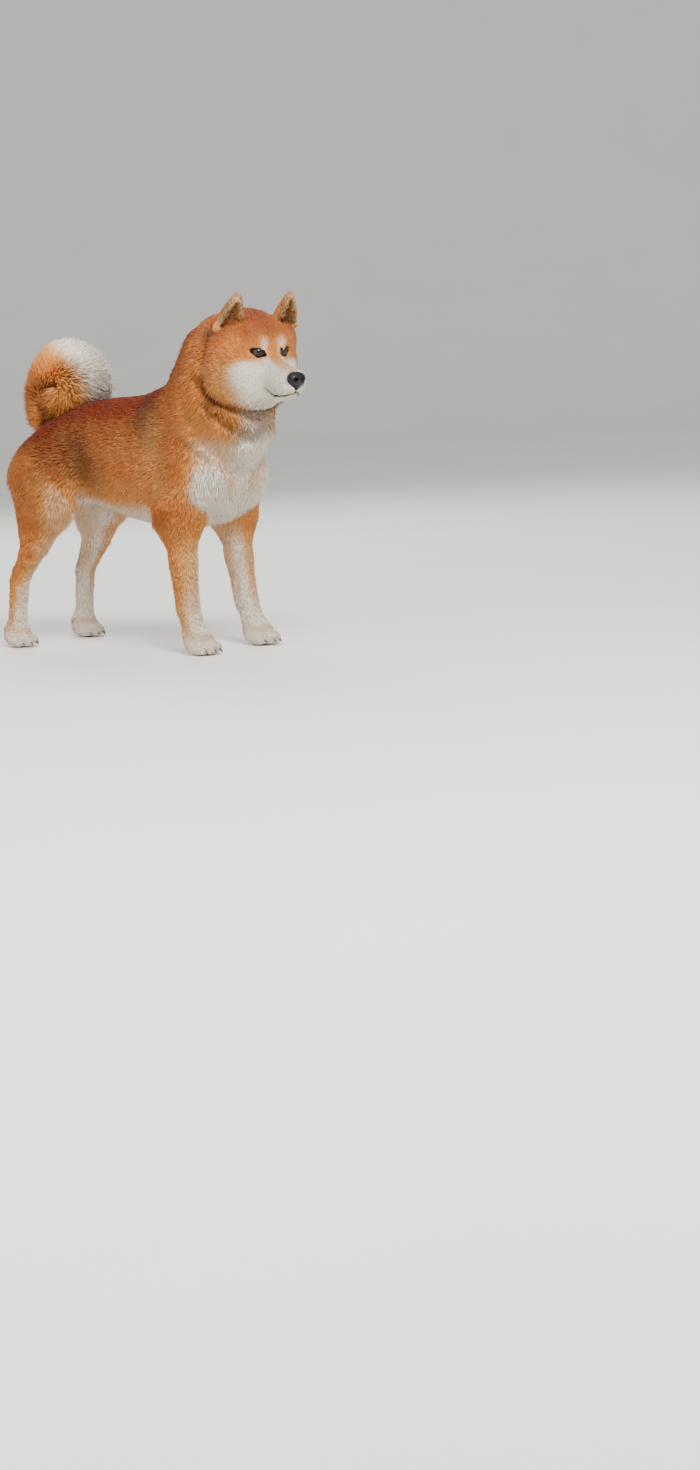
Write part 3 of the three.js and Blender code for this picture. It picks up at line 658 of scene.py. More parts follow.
@dataclass(frozen=True)
class HeadFrame:
    """The head's own frame: +X to the nose, +Z up, the origin in the middle of the skull."""

    centre: tuple[float, float, float] = (75.0, 0.0, 421.0)
    turn: float = -12.0
    nod: float = 11.0

    @property
    def matrix(self) -> Matrix:
        """From the head's millimetres to the frame's metres."""
        place = Vector((self.centre[0] + BUILD_SHIFT, self.centre[1], self.centre[2])) * MM
        turned = Matrix.Rotation(math.radians(self.turn), 4, "Z")
        turned = turned @ Matrix.Rotation(math.radians(self.nod), 4, "Y")
        return Matrix.Translation(place) @ turned @ Matrix.Scale(MM, 4)

    def out(self, points: Array) -> Array:
        """Head millimetres to frame metres, for many points."""
        m = np.array(self.matrix)
        return points @ m[:3, :3].T + m[:3, 3]

    def within(self, points: Array) -> Array:
        """Frame metres to head millimetres, for many points."""
        m = np.array(self.matrix.inverted())
        return points @ m[:3, :3].T + m[:3, 3]

    def directions(self, vectors: Array) -> Array:
        """Directions in the head's frame as directions in the dog's."""
        return unit(vectors @ np.array(self.matrix.to_3x3().normalized()).T)

    def directions_within(self, vectors: Array) -> Array:
        """Directions in the dog's frame as directions in the head's."""
        return unit(vectors @ np.array(self.matrix.to_3x3().normalized()))


HEAD = HeadFrame()


@dataclass(frozen=True)
class EarPlace:
    """Where an ear stands in the head's frame. The side is 1 for the left ear."""

    side: int
    foot: tuple[float, float, float] = (12.0, 50.0, 44.0)
    tip: tuple[float, float, float] = (23.0, 46.0, 98.0)
    across: tuple[float, float, float] = (-9.5, 33.0, -16.0)

    def axes(self) -> tuple[Array, Array, Array, Array]:
        """The foot, the way up with the ear's height, the way across and the way the cup opens."""
        flip = np.array([1.0, self.side, 1.0])
        foot = np.array(self.foot) * flip
        up = np.array(self.tip) * flip - foot
        across = np.array(self.across) * flip
        across = across - up * (across @ up) / (up @ up)
        across = across / np.linalg.norm(across)
        out = np.cross(across, up) * self.side
        return foot, up, across, out / np.linalg.norm(out)


@dataclass(frozen=True)
class TailPath:
    """The curl of the tail: a path in a plane of its own, with the brush's radius along it."""

    root: tuple[float, float, float] = (-306.0, 0.0, 338.0)
    turn: float = 20.0
    knots: tuple[tuple[float, float, float], ...] = (
        (-6, -20, 20),
        (-34, 0, 18),
        (-46, 24, 16),
        (-47, 48, 17),
        (-36, 70, 22),
        (-12, 87, 30),
        (14, 82, 34),
        (26, 57, 35),
        (11, 31, 30),
        (-6, 18, 22),
    )
    core_share: float = 0.5
    steps: int = 120
    hole: tuple[float, float] = (-22.0, 40.0)
    fan_from: tuple[float, float] = (-20.0, 40.0)

    @property
    def heading(self) -> tuple[float, float]:
        """The curl's plane as seen from above: the x and y of one step along it."""
        return math.cos(math.radians(self.turn)), math.sin(math.radians(self.turn))

    def along(self) -> tuple[Array, Array, Array]:
        """Points of the path in the build's millimetres, their directions and the brush's radii."""
        knots = np.array(self.knots, float)
        t = np.linspace(0, len(knots) - 1.0001, self.steps)
        i = np.floor(t).astype(int)
        u = (t - i)[:, None]
        p0, p1 = knots[np.maximum(i - 1, 0)], knots[i]
        p2, p3 = knots[i + 1], knots[np.minimum(i + 2, len(knots) - 1)]
        line = 0.5 * (
            2 * p1
            + (p2 - p0) * u
            + (2 * p0 - 5 * p1 + 4 * p2 - p3) * u**2
            + (3 * p1 - p0 - 3 * p2 + p3) * u**3
        )
        c, s = self.heading
        points = np.stack([line[:, 0] * c, line[:, 0] * s, line[:, 1]], 1) + np.array(self.root)
        return points, unit(np.gradient(points, axis=0)), line[:, 2]

    def plane(self, points: Array) -> tuple[Array, Array]:
        """How far each place lies along the curl's plane and above the tail's root."""
        c, s = self.heading
        off = points - np.array(self.root)
        return off[:, 0] * c + off[:, 1] * s, off[:, 2]

    def from_hole(self, points: Array) -> tuple[Array, Array, Array]:
        """How far each place lies from the middle of the curl's hole: along, up and straight."""
        along, up = self.plane(points)
        along, up = along - self.hole[0], up - self.hole[1]
        return along, up, np.hypot(along, up)


TAIL = TailPath()


@dataclass(frozen=True)
class Fold:
    """A crease behind the cheeks or in the ruff, with its painted shadow, as a line seen from the
    side of the head.

    Lengths are in the head's millimetres, and places are distances from the line, ahead of it
    where they are negative.
    """

    line: tuple[tuple[float, float], ...]
    top: float
    depth: float
    roll: float
    ahead: float
    # how dark the crease's painted shadow is
    dark: float
    fade: float = 26.0
    width: float = 5.5
    roll_at: float = 16.0
    roll_width: float = 9.5
    ahead_at: float = -16.0
    ahead_width: float = 10.0
    shadow_at: float = -5.0
    shadow_width: float = 6.5

    def beside(self, head: Array) -> Array:
        """Distance from the crease in the head's millimetres, positive behind it and below."""
        q = head[:, [0, 2]]
        best, signed = np.full(len(q), np.inf), np.zeros(len(q))
        for a, b in zip(np.array(self.line[:-1]), np.array(self.line[1:])):
            way = b - a
            t = np.clip((q - a) @ way / (way @ way), 0, 1)
            gap = q - (a + t[:, None] * way)
            far = np.linalg.norm(gap, axis=1)
            side = np.sign(way[1] * gap[:, 0] - way[0] * gap[:, 1])
            signed = np.where(far < best, far * np.where(side == 0, 1, side), signed)
            best = np.minimum(best, far)
        return signed

    def shown(self, head: Array) -> Array:
        """How far the crease shows at each height: it fades towards the nape."""
        return rise(head[:, 2], self.top + self.fade, self.top)

    def push(self, head: Array) -> Array:
        """How far the skin moves out, in millimetres: in at the crease, out on both sides of it."""
        d = self.beside(head)
        crease = -self.depth * swell(d, 0.0, self.width)
        before = self.ahead * swell(d, self.ahead_at, self.ahead_width)
        after = self.roll * swell(d, self.roll_at, self.roll_width)
        return (crease + before + after) * self.shown(head)

    def shadow(self, head: Array) -> Array:
        """The crease's painted shadow, a little ahead of it because the hair lies back over it."""
        return swell(self.beside(head), self.shadow_at, self.shadow_width) * self.shown(head)


FOLDS: tuple[Fold, ...] = (
    Fold(
        (
            (-2, 60),
            (-8, 26),
            (-11, -4),
            (-11, -20),
            (-9, -34),
            (-3, -43),
            (7, -52),
            (17, -58),
            (28, -70),
            (33, -80),
        ),
        top=18.0,
        depth=8.0,
        roll=4.5,
        ahead=3.5,
        dark=0.85,
    ),
    Fold(
        ((-38, 30), (-24, -16), (-14, -41), (1, -65), (16, -82), (27, -95), (33, -108)),
        top=-26.0,
        depth=4.5,
        roll=2.0,
        ahead=0.0,
        dark=0.5,
    ),
)


@dataclass(frozen=True)
class EyePlace:
    """Where an eye sits in the head's frame and the way it looks. The side is 1 for the left."""

    side: int
    middle: tuple[float, float, float] = (52.0, 24.5, 20.0)
    facing: tuple[float, float, float] = (0.78, 0.62, 0.06)
    ring_half: tuple[float, float] = (16.0, 8.5)
    ring_shift: float = 1.8
    ring_reach: float = 16.0

    def axes(self) -> tuple[Array, Array, Array]:
        """Across, up and out, in the head's frame."""
        out = np.array([self.facing[0], self.side * self.facing[1], self.facing[2]])
        out = out / np.linalg.norm(out)
        across = np.cross([0, 0, 1], out)
        across = across / np.linalg.norm(across)
        return across, np.cross(out, across), out

    def ring(self, head: Array, far: float = 9.0) -> Array:
        """How far places lie from the opening: 1 at the outer edge of the lids.

        Args:
            head: Places in the head's millimetres.
            far: What is given for places well in front of the eye or behind it.

        Returns:
            One number for each place.
        """
        across, up, out = self.axes()
        q = head - np.array([self.middle[0], self.side * self.middle[1], self.middle[2]])
        aside = (q @ across + self.side * self.ring_shift) / self.ring_half[0]
        flat = np.hypot(aside, (q @ up) / self.ring_half[1])
        return np.where(np.abs(q @ out) < self.ring_reach, np.minimum(flat, far), far)


@dataclass(frozen=True)
class MouthLine:
    """The line of the mouth: from under the nose it dips along each lip and rises to a corner."""

    start: float = 72.0
    turn: float = 92.0
    front: float = -26.0
    dip: float = -9.0
    corner: float = -27.0

    def height(self, share: Array) -> Array:
        """The height at a share of the way to a corner, -1 to 1."""
        a = np.clip(np.abs(share), 0, 1)
        return self.front + (self.corner - self.front) * a + self.dip * np.sin(np.pi * a)

    def near(self, head: Array) -> Array:
        """How near each place is to the line: 1 on it, 0 from two millimetres off."""
        turn = np.degrees(np.arctan2(head[:, 1], head[:, 0] - self.start))
        share = turn / self.turn
        off = np.abs(head[:, 2] - self.height(share))
        return rise(off, 2.4, 0.9) * rise(np.abs(share), 1.12, 1.0) * rise(head[:, 0], 45, 55)


MOUTH = MouthLine()


# ---------------------------------------------------------------------------------------------
# The coat's map: marks and painted shade, lie, length and lift at every point of the skin

SUNK = 0.78  # how deep the skin lies in the coat, as a share of the coat's lift


@dataclass
class CoatMap:
    """What the coat does at each point: marks and painted shade, direction, length, lift, width and
    density.
    """

    markings: Array
    lie: Array
    length: Array
    lift: Array
    width: Array
    density: Array
    depth: Array


class CoatPlan:
    """Works out the coat from the place of each point on the body."""

    def __init__(self, points: Array, facing: Array, weight: Array) -> None:
        """Keeps the points in the body's and the head's millimetres.

        Args:
            points: The skin's points, in metres.
            facing: Their normals.
            weight: How far each point belongs to each region, one column for each.
        """
        self.p = points / MM - np.array([BUILD_SHIFT, 0, 0])
        self.h = HEAD.within(points)
        self.facing = facing
        self.head_facing = HEAD.directions_within(facing)
        self.weight = weight
        self.side = np.sign(self.p[:, 1])
        self.cup = self._ear_cup()
        self.eye_ring = np.minimum(*(EyePlace(side).ring(self.h) for side in SIDES))

    def of(self, region: Region) -> Array:
        """How far each point belongs to a region."""
        return self.weight[:, region.value]

    def _ear_cup(self) -> Array:
        """How far each point lies inside an ear's cup."""
        inside = np.zeros(len(self.p))
        for side in SIDES:
            foot, up, across, out = EarPlace(side).axes()
            q = self.h - foot
            height = q @ up / (up @ up)
            forward = rise(self.head_facing @ out, 0.05, 0.45)
            near = rise(np.abs(q @ across), 22, 17) * rise(q @ out, 4.5, 2.0)
            inside = np.maximum(inside, forward * near * rise(height, -0.05, 0.1))
        return inside * rise(self.of(Region.EAR), 0.3, 0.6)

    def _cream_head(self) -> Array:
        """White cheeks, sides of the muzzle, jaw and brow spots, and a tan bridge."""
        hx, hy, hz = self.h.T
        below_eye = rise(hz - 0.2 * (hx - 50), 17, -3)
        cheek = below_eye * rise(hx, 22, 58)
        behind = below_eye * rise(hx, -30, 30) * 0.34
        muzzle = rise(hx, 66, 80) * rise(hz, 4, -9)
        jaw = rise(hz, -30, -50) * rise(hx, -20, 30) * 0.8
        bridge = rise(np.abs(hy), 19, 8) * rise(hz, -8, 5) * rise(hx, 46, 66)
        patch = pair(self.h, (64, 22, 3), (12, 9, 7), 1.2)
        brow = pair(self.h, (58, 15, 32), (13, 8, 8), 1.5)
        inner = pair(self.h, (68, 14, 20), (14, 7, 12), 1.2)
        cream = np.maximum(np.maximum(cheek, muzzle), np.maximum(jaw, behind))
        cream = cream * (1 - 0.62 * bridge) * (1 - 0.4 * patch) + 0.46 * brow + 0.4 * inner
        return np.clip(cream + 0.2 * rise(hx, 10, 70), 0, 1) * self.of(Region.HEAD)

    def _cream_body(self) -> Array:
        """Pale throat, chest and belly, paler sides, and a streak behind the shoulder."""
        x, y, z = self.p.T
        _, ny, nz = self.facing.T
        torso, neck = self.of(Region.TORSO), self.of(Region.NECK)
        throat = rise(x, 46, 92) * rise(np.abs(y), 52, 18) * 0.5 + rise(x, 0, 60) * 0.22
        shoulders = pair(self.p, (36, 56, 248), (30, 26, 36), 1.3)
        sternum = spot(self.p, (52, 0, 266), (30, 22, 56), 1.3) * 0.62
        fore_chest = rise(x, -10, 36) * rise(z, 345, 300) * 0.38
        chest = np.maximum(0.92 * np.maximum(shoulders, sternum), fore_chest)
        streak = spot(self.p, (-50, 0, 306), (24, WHOLE_WIDTH, 48), 1.6) * 0.28
        streak = streak * rise(np.abs(y), 40, 62)
        sides = rise(np.abs(ny), 0.45, 0.95) * 0.1 + rise(z, 290, 205) * 0.2
        front = (neck + torso + self.of(Region.FORELEG)) * np.clip(throat + chest, 0, 1)
        belly = torso * rise(nz, -0.25, -0.8) * 0.52
        return front + (torso + 0.7 * neck) * (streak + sides) + belly

    def _cream_limbs(self) -> Array:
        """Pale insides and fronts of the legs, pale paws, and a pale rim round the tail's curl."""
        z = self.p[:, 2]
        nx, ny, _ = self.facing.T
        inside = rise(-ny * self.side, 0.05, 0.7)
        fore_front = rise(nx, 0.0, 0.8) * rise(z, 215, 130) * 0.22
        fore_low = (0.2 + rise(z, 120, 40) * 0.24) * rise(z, 215, 150)
        fore = np.clip(0.34 * inside + fore_front + fore_low, 0, 0.86)
        thigh_front = rise(nx, 0.1, 0.8) * 0.36
        hind_low = 0.12 + rise(z, 130, 40) * 0.34
        hind = np.clip(0.5 * inside + thigh_front + hind_low, 0, 0.84)
        paw = 0.6 + 0.25 * rise(z, 36, 12)
        along, up = TAIL.plane(self.p)
        _, _, far = TAIL.from_hole(self.p)
        tail = rise(far, 42, 66) * rise(up + 0.3 * along, 26, 60) + 0.24 * rise(far, 20, 46)
        legs = self.of(Region.FORELEG) * fore + self.of(Region.HINDLEG) * hind
        return legs + self.of(Region.PAW) * paw + self.of(Region.TAIL) * tail

    def _cream(self) -> Array:
        """The share of cream at each point."""
        ear = self.of(Region.EAR)
        rim = ear * rise(self.head_facing[:, 0], 0.1, 0.8) * 0.5
        pale = (self._cream_head() + self._cream_body() + self._cream_limbs()) * (1 - ear)
        return np.clip(np.maximum(pale, np.maximum(0.36 * self.cup, rim)), 0, 1)

    def _rust(self) -> Array:
        """Deeper red on the back, the nape, the forehead, the ears' backs and the haunches."""
        z = self.p[:, 2]
        hx, hy, hz = self.h.T
        nx, ny, nz = self.facing.T
        saddle = 0.8 * rise(nz, 0.1, 0.9) + 0.35 * rise(z, 262, 345)
        nape = rise(-nx + 0.6 * nz, 0.0, 1.0) * 0.85
        forehead = rise(hz, 24, 46) * rise(hx, -50, 20) * (0.5 + 0.3 * rise(np.abs(hy), 24, 4))
        ear_back = rise(-self.head_facing[:, 0], -0.3, 0.6) * 0.85
        haunch = rise(z, 150, 230) * rise(ny * self.side, 0.0, 0.7) * 0.3
        each = {
            Region.TORSO: saddle,
            Region.NECK: nape,
            Region.HEAD: forehead,
            Region.EAR: ear_back,
            Region.HINDLEG: haunch,
        }
        return np.clip(sum(self.of(region) * share for region, share in each.items()), 0, 1)

    def _dark(self) -> Array:
        """Darker patches at hip, flank, withers, elbows, hocks and the ears' feet, dark lips, and
        painted shade in the ears' cups, the curl's hole, under the jaw and in the folds.
        """
        nx, ny, _ = self.facing.T
        hx, _, hz = self.h.T
        torso, neck, head = (self.of(r) for r in (Region.TORSO, Region.NECK, Region.HEAD))
        hind = self.of(Region.HINDLEG)
        hip = spot(self.p, (-232, 0, 298), (48, WHOLE_WIDTH, 34), 1.4) * 0.62
        flank = spot(self.p, (-192, 0, 262), (40, WHOLE_WIDTH, 24), 1.4) * 0.3
        withers = spot(self.p, (-66, 0, 352), (30, WHOLE_WIDTH, 40), 1.4) * 0.5
        elbow = spot(self.p, (-30, 0, 205), (22, WHOLE_WIDTH, 16), 1.0) * 0.35
        elbow = elbow * rise(ny * self.side, 0.2, 0.7)
        hock = spot(self.p, (-372, 0, 118), (20, WHOLE_WIDTH, 26), 1.0) * 0.4
        hock = hind * hock * rise(-nx, 0.1, 0.7)
        ear_foot = head * pair(self.h, (-4, 58, 34), (20, 16, 18), 1.2) * 0.55
        # painted shade under the jaw
        painted_jaw_shade = head * rise(hz, -40, -56) * rise(hx, 10, 40) * 0.2
        # painted shade inside the curl's hole
        _, _, far = TAIL.from_hole(self.p)
        hole = self.of(Region.TAIL) * rise(far, 34, 12) * 0.85
        # painted shadow in the folds behind the cheeks and in the ruff
        folds = (head + neck) * sum(fold.dark * fold.shadow(self.h) for fold in FOLDS)
        shade = (hip + flank + withers) * (torso + hind + 0.7 * neck) + elbow + hock
        # painted shade inside the ears' cups; the lips are dark of their own
        face = 0.72 * self.cup + ear_foot + painted_jaw_shade + head * MOUTH.near(self.h)
        return np.clip(shade + face + hole + folds, 0, 0.9)

    def directions(self) -> Array:
        """The way the coat lies at each point, along the skin."""
        x, _, z = self.p.T
        hx, hy, _ = self.h.T
        count = len(self.p)

        def constant(vx: float, vz: float) -> Array:
            """The same way for every point, without any lean to a side."""
            return np.tile(np.array([vx, 0.0, vz]), (count, 1))

        body = mixed(constant(-1, -0.12), constant(-0.75, -0.7), rise(z, 330, 230))
        body = mixed(body, constant(-0.15, -1.0), rise(x, -30, 15))
        ruff = mixed(constant(-0.85, -0.45), constant(-0.25, -1.0), rise(x, 20, 80))
        thigh = mixed(constant(-0.1, -1.0), constant(-0.6, -0.8), rise(z, 130, 190))
        from_nose = self.h - np.array([118.0, 0.0, -4.0])
        from_nose[:, 2] -= 10 * rise(hx, 60, 10)
        ears = np.zeros((count, 3))
        for side in SIDES:
            _, up, _, _ = EarPlace(side).axes()
            ears[np.sign(hy) == side] = HEAD.directions(up[None, :])[0]
        each = {
            Region.TORSO: unit(body),
            Region.NECK: unit(ruff),
            Region.HEAD: HEAD.directions(from_nose),
            Region.EAR: ears,
            Region.FORELEG: unit(constant(-0.22, -1.0)),
            Region.HINDLEG: unit(thigh),
            Region.PAW: unit(constant(0.85, -0.5)),
            Region.TAIL: self._brush_way(),
        }
        flow = sum(self.of(region)[:, None] * way for region, way in each.items())
        return unit(flow - self.facing * np.sum(flow * self.facing, 1, keepdims=True))

    def _on_tail(self) -> tuple[Array, Array]:
        """The points that belong to the tail, and the step of its path nearest to each."""
        path, _, _ = TAIL.along()
        found = np.nonzero(self.of(Region.TAIL) > 0.01)[0]
        gap = self.p[found][:, None, :] - path[None, :, :]
        return found, np.linalg.norm(gap, axis=2).argmin(1)

    def _brush_way(self) -> Array:
        """On the tail the hair runs along it and fans out from the middle of the curl."""
        _, ways, _ = TAIL.along()
        found, step = self._on_tail()
        along, up = TAIL.plane(self.p[found])
        along, up = along - TAIL.fan_from[0], up - TAIL.fan_from[1]
        c, s = TAIL.heading
        fan = np.stack([along * c, along * s, up], 1)
        way = np.zeros_like(self.p)
        way[found] = unit(0.7 * ways[step] + 0.8 * unit(fan))
        return way

    def _brush_radius(self) -> Array:
        """The brush's radius near each point of the tail."""
        _, _, radii = TAIL.along()
        found, step = self._on_tail()
        radius = np.full(len(self.p), 20.0)
        radius[found] = radii[step]
        return radius

    def plan(self) -> CoatMap:
        """Works out the whole map."""
        z = self.p[:, 2]
        hx, hy, hz = self.h.T
        nx, ny, nz = self.facing.T
        face = rise(hx, 22, 60)
        cheek = rise(np.abs(hy), 30, 55) * rise(hz, 20, -20) * rise(hx, 55, 20)
        upper, thigh = rise(z, 150, 210), rise(z, 120, 210)
        breeches = rise(-nx, 0.2, 0.8) * upper
        radius = self._brush_radius()
        along, up, far = TAIL.from_hole(self.p)
        c, s = TAIL.heading
        to_hole = -(along * (nx * c + ny * s) + up * nz) / np.maximum(far, 1)
        inward = rise(to_hole, 0.2, 0.8)
        each = {
            # region: length, lift, width and density at each point
            Region.TORSO: (17 + 4 * rise(nz, -0.2, -0.8), 5.2, 1.6, 1.0),
            Region.NECK: (21, 7.6, 1.7, 1.0),
            Region.HEAD: (
                11 - 5.5 * face + 7 * cheek,
                2.6 - 1.7 * face + 3.2 * cheek,
                1.4 - 0.35 * face,
                1.5,
            ),
            Region.EAR: (6.0 + 4.0 * self.cup, 1.3 + 2.2 * self.cup, 1.1, 1.6),
            Region.FORELEG: (10 + 5 * upper, 2.2 + 2 * upper, 1.35, 1.15),
            Region.HINDLEG: (
                10 + 9 * thigh + 7 * breeches,
                2.2 + 2.8 * thigh + 5 * breeches,
                1.4 + 0.2 * thigh,
                1.0,
            ),
            Region.PAW: (6.0, 1.1, 1.15, 1.5 * rise(nz, -0.75, -0.35)),
            Region.TAIL: (8 + 0.72 * radius, 0.5 * radius * (1 + 0.85 * inward), 1.6, 2.2),
        }
        length, lift, width, density = (
            sum(self.of(region) * values[i] for region, values in each.items()) for i in range(4)
        )
        depth = SUNK * lift * (1 - self.of(Region.TAIL)) * (1 - 0.8 * self.of(Region.EAR))
        colours = [self._cream(), self._rust(), self._dark(), np.ones(len(self.p))]
        return CoatMap(
            markings=np.stack(colours, 1),
            lie=self.directions(),
            length=length * (0.5 + 0.5 * rise(self.eye_ring, 1.0, 2.4)) * MM,
            lift=lift * MM,
            width=width * MM,
            density=density * (1 - self._bare()),
            depth=depth * MM,
        )

    def _bare(self) -> Array:
        """Where there is no hair: on the lids, behind the nose and along the lips."""
        eyes = rise(self.eye_ring, 1.12, 0.96)
        bare = eyes + spot(self.h, (112, 0, -8), (9, 14, 12), 0.3) + 1.2 * MOUTH.near(self.h)
        return np.clip(bare, 0, 1)


# ---------------------------------------------------------------------------------------------
# Skin


@dataclass
class Skin:
    """One closed skin over the whole body, as deep inside the coat as the coat is thick."""

    nodes: dict[str, bpy.types.Object]
    eyes: Sequence[Eye]
    voxel: float = 0.0027
    smoothing: int = 10
    tail_gap: float = 0.003
    tail_over: float = 0.3
    tail_behind: float = -0.1

    def build(self) -> bpy.types.Object:
        """Makes the skin with its coat map stored on its points."""
        mesh = self._one_surface(remeshed(self._rough(), self.voxel))
        near = Neighbours(mesh)
        weight = self._regions(mesh, near)
        self._smooth(mesh, near, weight)
        self._fold(mesh, weight)
        plan = CoatPlan(coordinates(mesh), normals(mesh), weight).plan()
        for _ in range(8):
            plan.depth = near.average(plan.depth)
        move_to(mesh, coordinates(mesh) - normals(mesh) * plan.depth[:, None])
        for eye in self.eyes:
            self._open(mesh, plan, eye)
        self._store(mesh, plan, weight)
        skin = object_of("skin", mesh)
        self._unwrap(skin)
        return skin

    def _rough(self) -> bpy.types.Mesh:
        """The flesh solids and a row of balls along the tail, all in one mesh."""
        work = bmesh.new()
        for name in NODE_REGION:
            part = merged_copy(self.nodes[name])
            carrier = bpy.data.meshes.new("part")
            part.to_mesh(carrier)
            part.free()
            work.from_mesh(carrier)
            bpy.data.meshes.remove(carrier)
        points, _, radii = TAIL.along()
        for place, radius in zip(points, radii):
            ball = Matrix.Translation(Vector((place[0] + BUILD_SHIFT, place[1], place[2])) * MM)
            bmesh.ops.create_icosphere(
                work, subdivisions=2, radius=radius * TAIL.core_share * MM, matrix=ball
            )
        rough = bpy.data.meshes.new("skin_rough")
        work.to_mesh(rough)
        work.free()
        return rough

    @staticmethod
    def _one_surface(mesh: bpy.types.Mesh) -> bpy.types.Mesh:
        """Drops what lies shut up inside the body."""
        keep = Neighbours(mesh).largest()
        work = bmesh.new()
        work.from_mesh(mesh)
        work.verts.ensure_lookup_table()
        drop = [work.verts[i] for i in np.nonzero(~keep)[0]]
        bmesh.ops.delete(work, geom=drop, context="VERTS")
        work.to_mesh(mesh)
        work.free()
        return mesh

    def _regions(self, mesh: bpy.types.Mesh, near: Neighbours) -> Array:
        """How far each point belongs to each region, blended over their borders."""
        vertices: list[Vector] = []
        triangles: list[list[int]] = []
        owner: list[int] = []
        for name, region in NODE_REGION.items():
            data = self.nodes[name].data
            base = len(vertices)
            vertices.extend(v.co.copy() for v in data.vertices)
            triangles.extend([base + i for i in p.vertices] for p in data.polygons)
            owner.extend([region.value] * len(data.polygons))
        tree = BVHTree.FromPolygons(vertices, triangles)
        points = coordinates(mesh)
        label = np.zeros((len(points), len(Region)))
        back = (points[:, 2] > self.tail_over) & (points[:, 0] < self.tail_behind)
        for i, point in enumerate(points):
            _, _, index, gap = tree.find_nearest(Vector(point))
            on_tail = back[i] and gap > self.tail_gap
            label[i, Region.TAIL.value if on_tail else owner[index]] = 1.0
        for _ in range(14):
            label = 0.5 * label + 0.5 * near.average(label)
        return label / label.sum(1, keepdims=True)

    def _smooth(self, mesh: bpy.types.Mesh, near: Neighbours, weight: Array) -> None:
        """Evens out the solids' flat faces: most on the trunk, least on the face, ears and paws."""
        strength = {
            Region.TORSO: 1.0,
            Region.NECK: 1.0,
            Region.HEAD: 0.3,
            Region.EAR: 0.12,
            Region.FORELEG: 0.6,
            Region.HINDLEG: 0.7,
            Region.PAW: 0.12,
            Region.TAIL: 0.5,
        }
        amount = sum(weight[:, r.value] * s for r, s in strength.items())[:, None]
        points = coordinates(mesh)
        for turn in range(2 * self.smoothing):
            step = 0.6 if turn % 2 == 0 else -0.56
            points = points + step * amount * (near.average(points) - points)
        for _ in range(self.smoothing):
            points = points + 0.5 * amount**2 * (near.average(points) - points)
        move_to(mesh, points)

    @staticmethod
    def _open(mesh: bpy.types.Mesh, plan: CoatMap, eye: Eye) -> None:
        """Sinks the skin behind the eyeball inside the lids, and darkens it there."""
        points = coordinates(mesh)
        inside, front = eye.opened(HEAD.within(points))
        _, _, out = eye.axes()
        back = HEAD.directions(out[None, :])
        sink = inside * np.maximum(front + 1.6, 0)
        move_to(mesh, points - (sink * MM)[:, None] * back)
        plan.markings[:, 2] = np.maximum(plan.markings[:, 2], 0.95 * inside)
        plan.density = plan.density * (1 - inside)

    @staticmethod
    def _fold(mesh: bpy.types.Mesh, weight: Array) -> None:
        """Presses the creases behind the cheeks into the skin and rounds the rolls beside them."""
        points = coordinates(mesh)
        head = HEAD.within(points)
        share = weight[:, Region.HEAD.value] + weight[:, Region.NECK.value]
        push = sum(fold.push(head) for fold in FOLDS) * rise(share, 0.3, 0.9)
        move_to(mesh, points + normals(mesh) * (push * MM)[:, None])

    @staticmethod
    def _store(mesh: bpy.types.Mesh, plan: CoatMap, weight: Array) -> None:
        """Stores the map on the points, for the coat and the finish."""
        store(mesh, "markings", plan.markings)
        store(mesh, "lie", plan.lie)
        store(mesh, "size", np.stack([plan.length, plan.width, plan.lift], 1))
        store(mesh, "density", plan.density)
        store(mesh, "tone", np.full(len(mesh.vertices), 0.35))
        # the skin takes the darker colour of the tufts' roots, a painted shade
        store(mesh, "along", np.full(len(mesh.vertices), 0.25))
        for region in Region:
            store(mesh, f"in_{region.name.lower()}", weight[:, region.value])

    @staticmethod
    def _unwrap(skin: bpy.types.Object) -> None:
        """Lays the skin out flat by its own shape, in the map that the coat shares."""
        skin.data.uv_layers.new(name=UV_NAME)
        bpy.context.view_layer.objects.active = skin
        bpy.ops.object.select_all(action="DESELECT")
        skin.select_set(True)
        bpy.ops.object.mode_set(mode="EDIT")
        bpy.ops.mesh.select_all(action="SELECT")
        bpy.ops.uv.smart_project(angle_limit=math.radians(72), island_margin=0.002)
        bpy.ops.object.mode_set(mode="OBJECT")


# ---------------------------------------------------------------------------------------------
# Coat


@dataclass(frozen=True)
class CoatPatch:
    """One piece of the coat: the regions that it covers, on one side or both, and its tufts."""

    name: str
    regions: tuple[Region, ...]
    side: int
    tufts: int
    seed: int


PATCHES: tuple[CoatPatch, ...] = (
    CoatPatch("coat_head_left", (Region.HEAD, Region.EAR), 1, 15500, 1),
    CoatPatch("coat_head_right", (Region.HEAD, Region.EAR), -1, 17500, 2),
    CoatPatch("coat_neck", (Region.NECK,), 0, 18500, 3),
    CoatPatch("coat_side_left", (Region.TORSO,), 1, 17000, 4),
    CoatPatch("coat_side_right", (Region.TORSO,), -1, 18500, 5),
    CoatPatch("coat_forelegs", (Region.FORELEG, Region.PAW), 0, 18500, 6),
    CoatPatch("coat_hindlegs", (Region.HINDLEG,), 0, 18500, 7),
    CoatPatch("coat_tail", (Region.TAIL,), 0, 18500, 8),
)


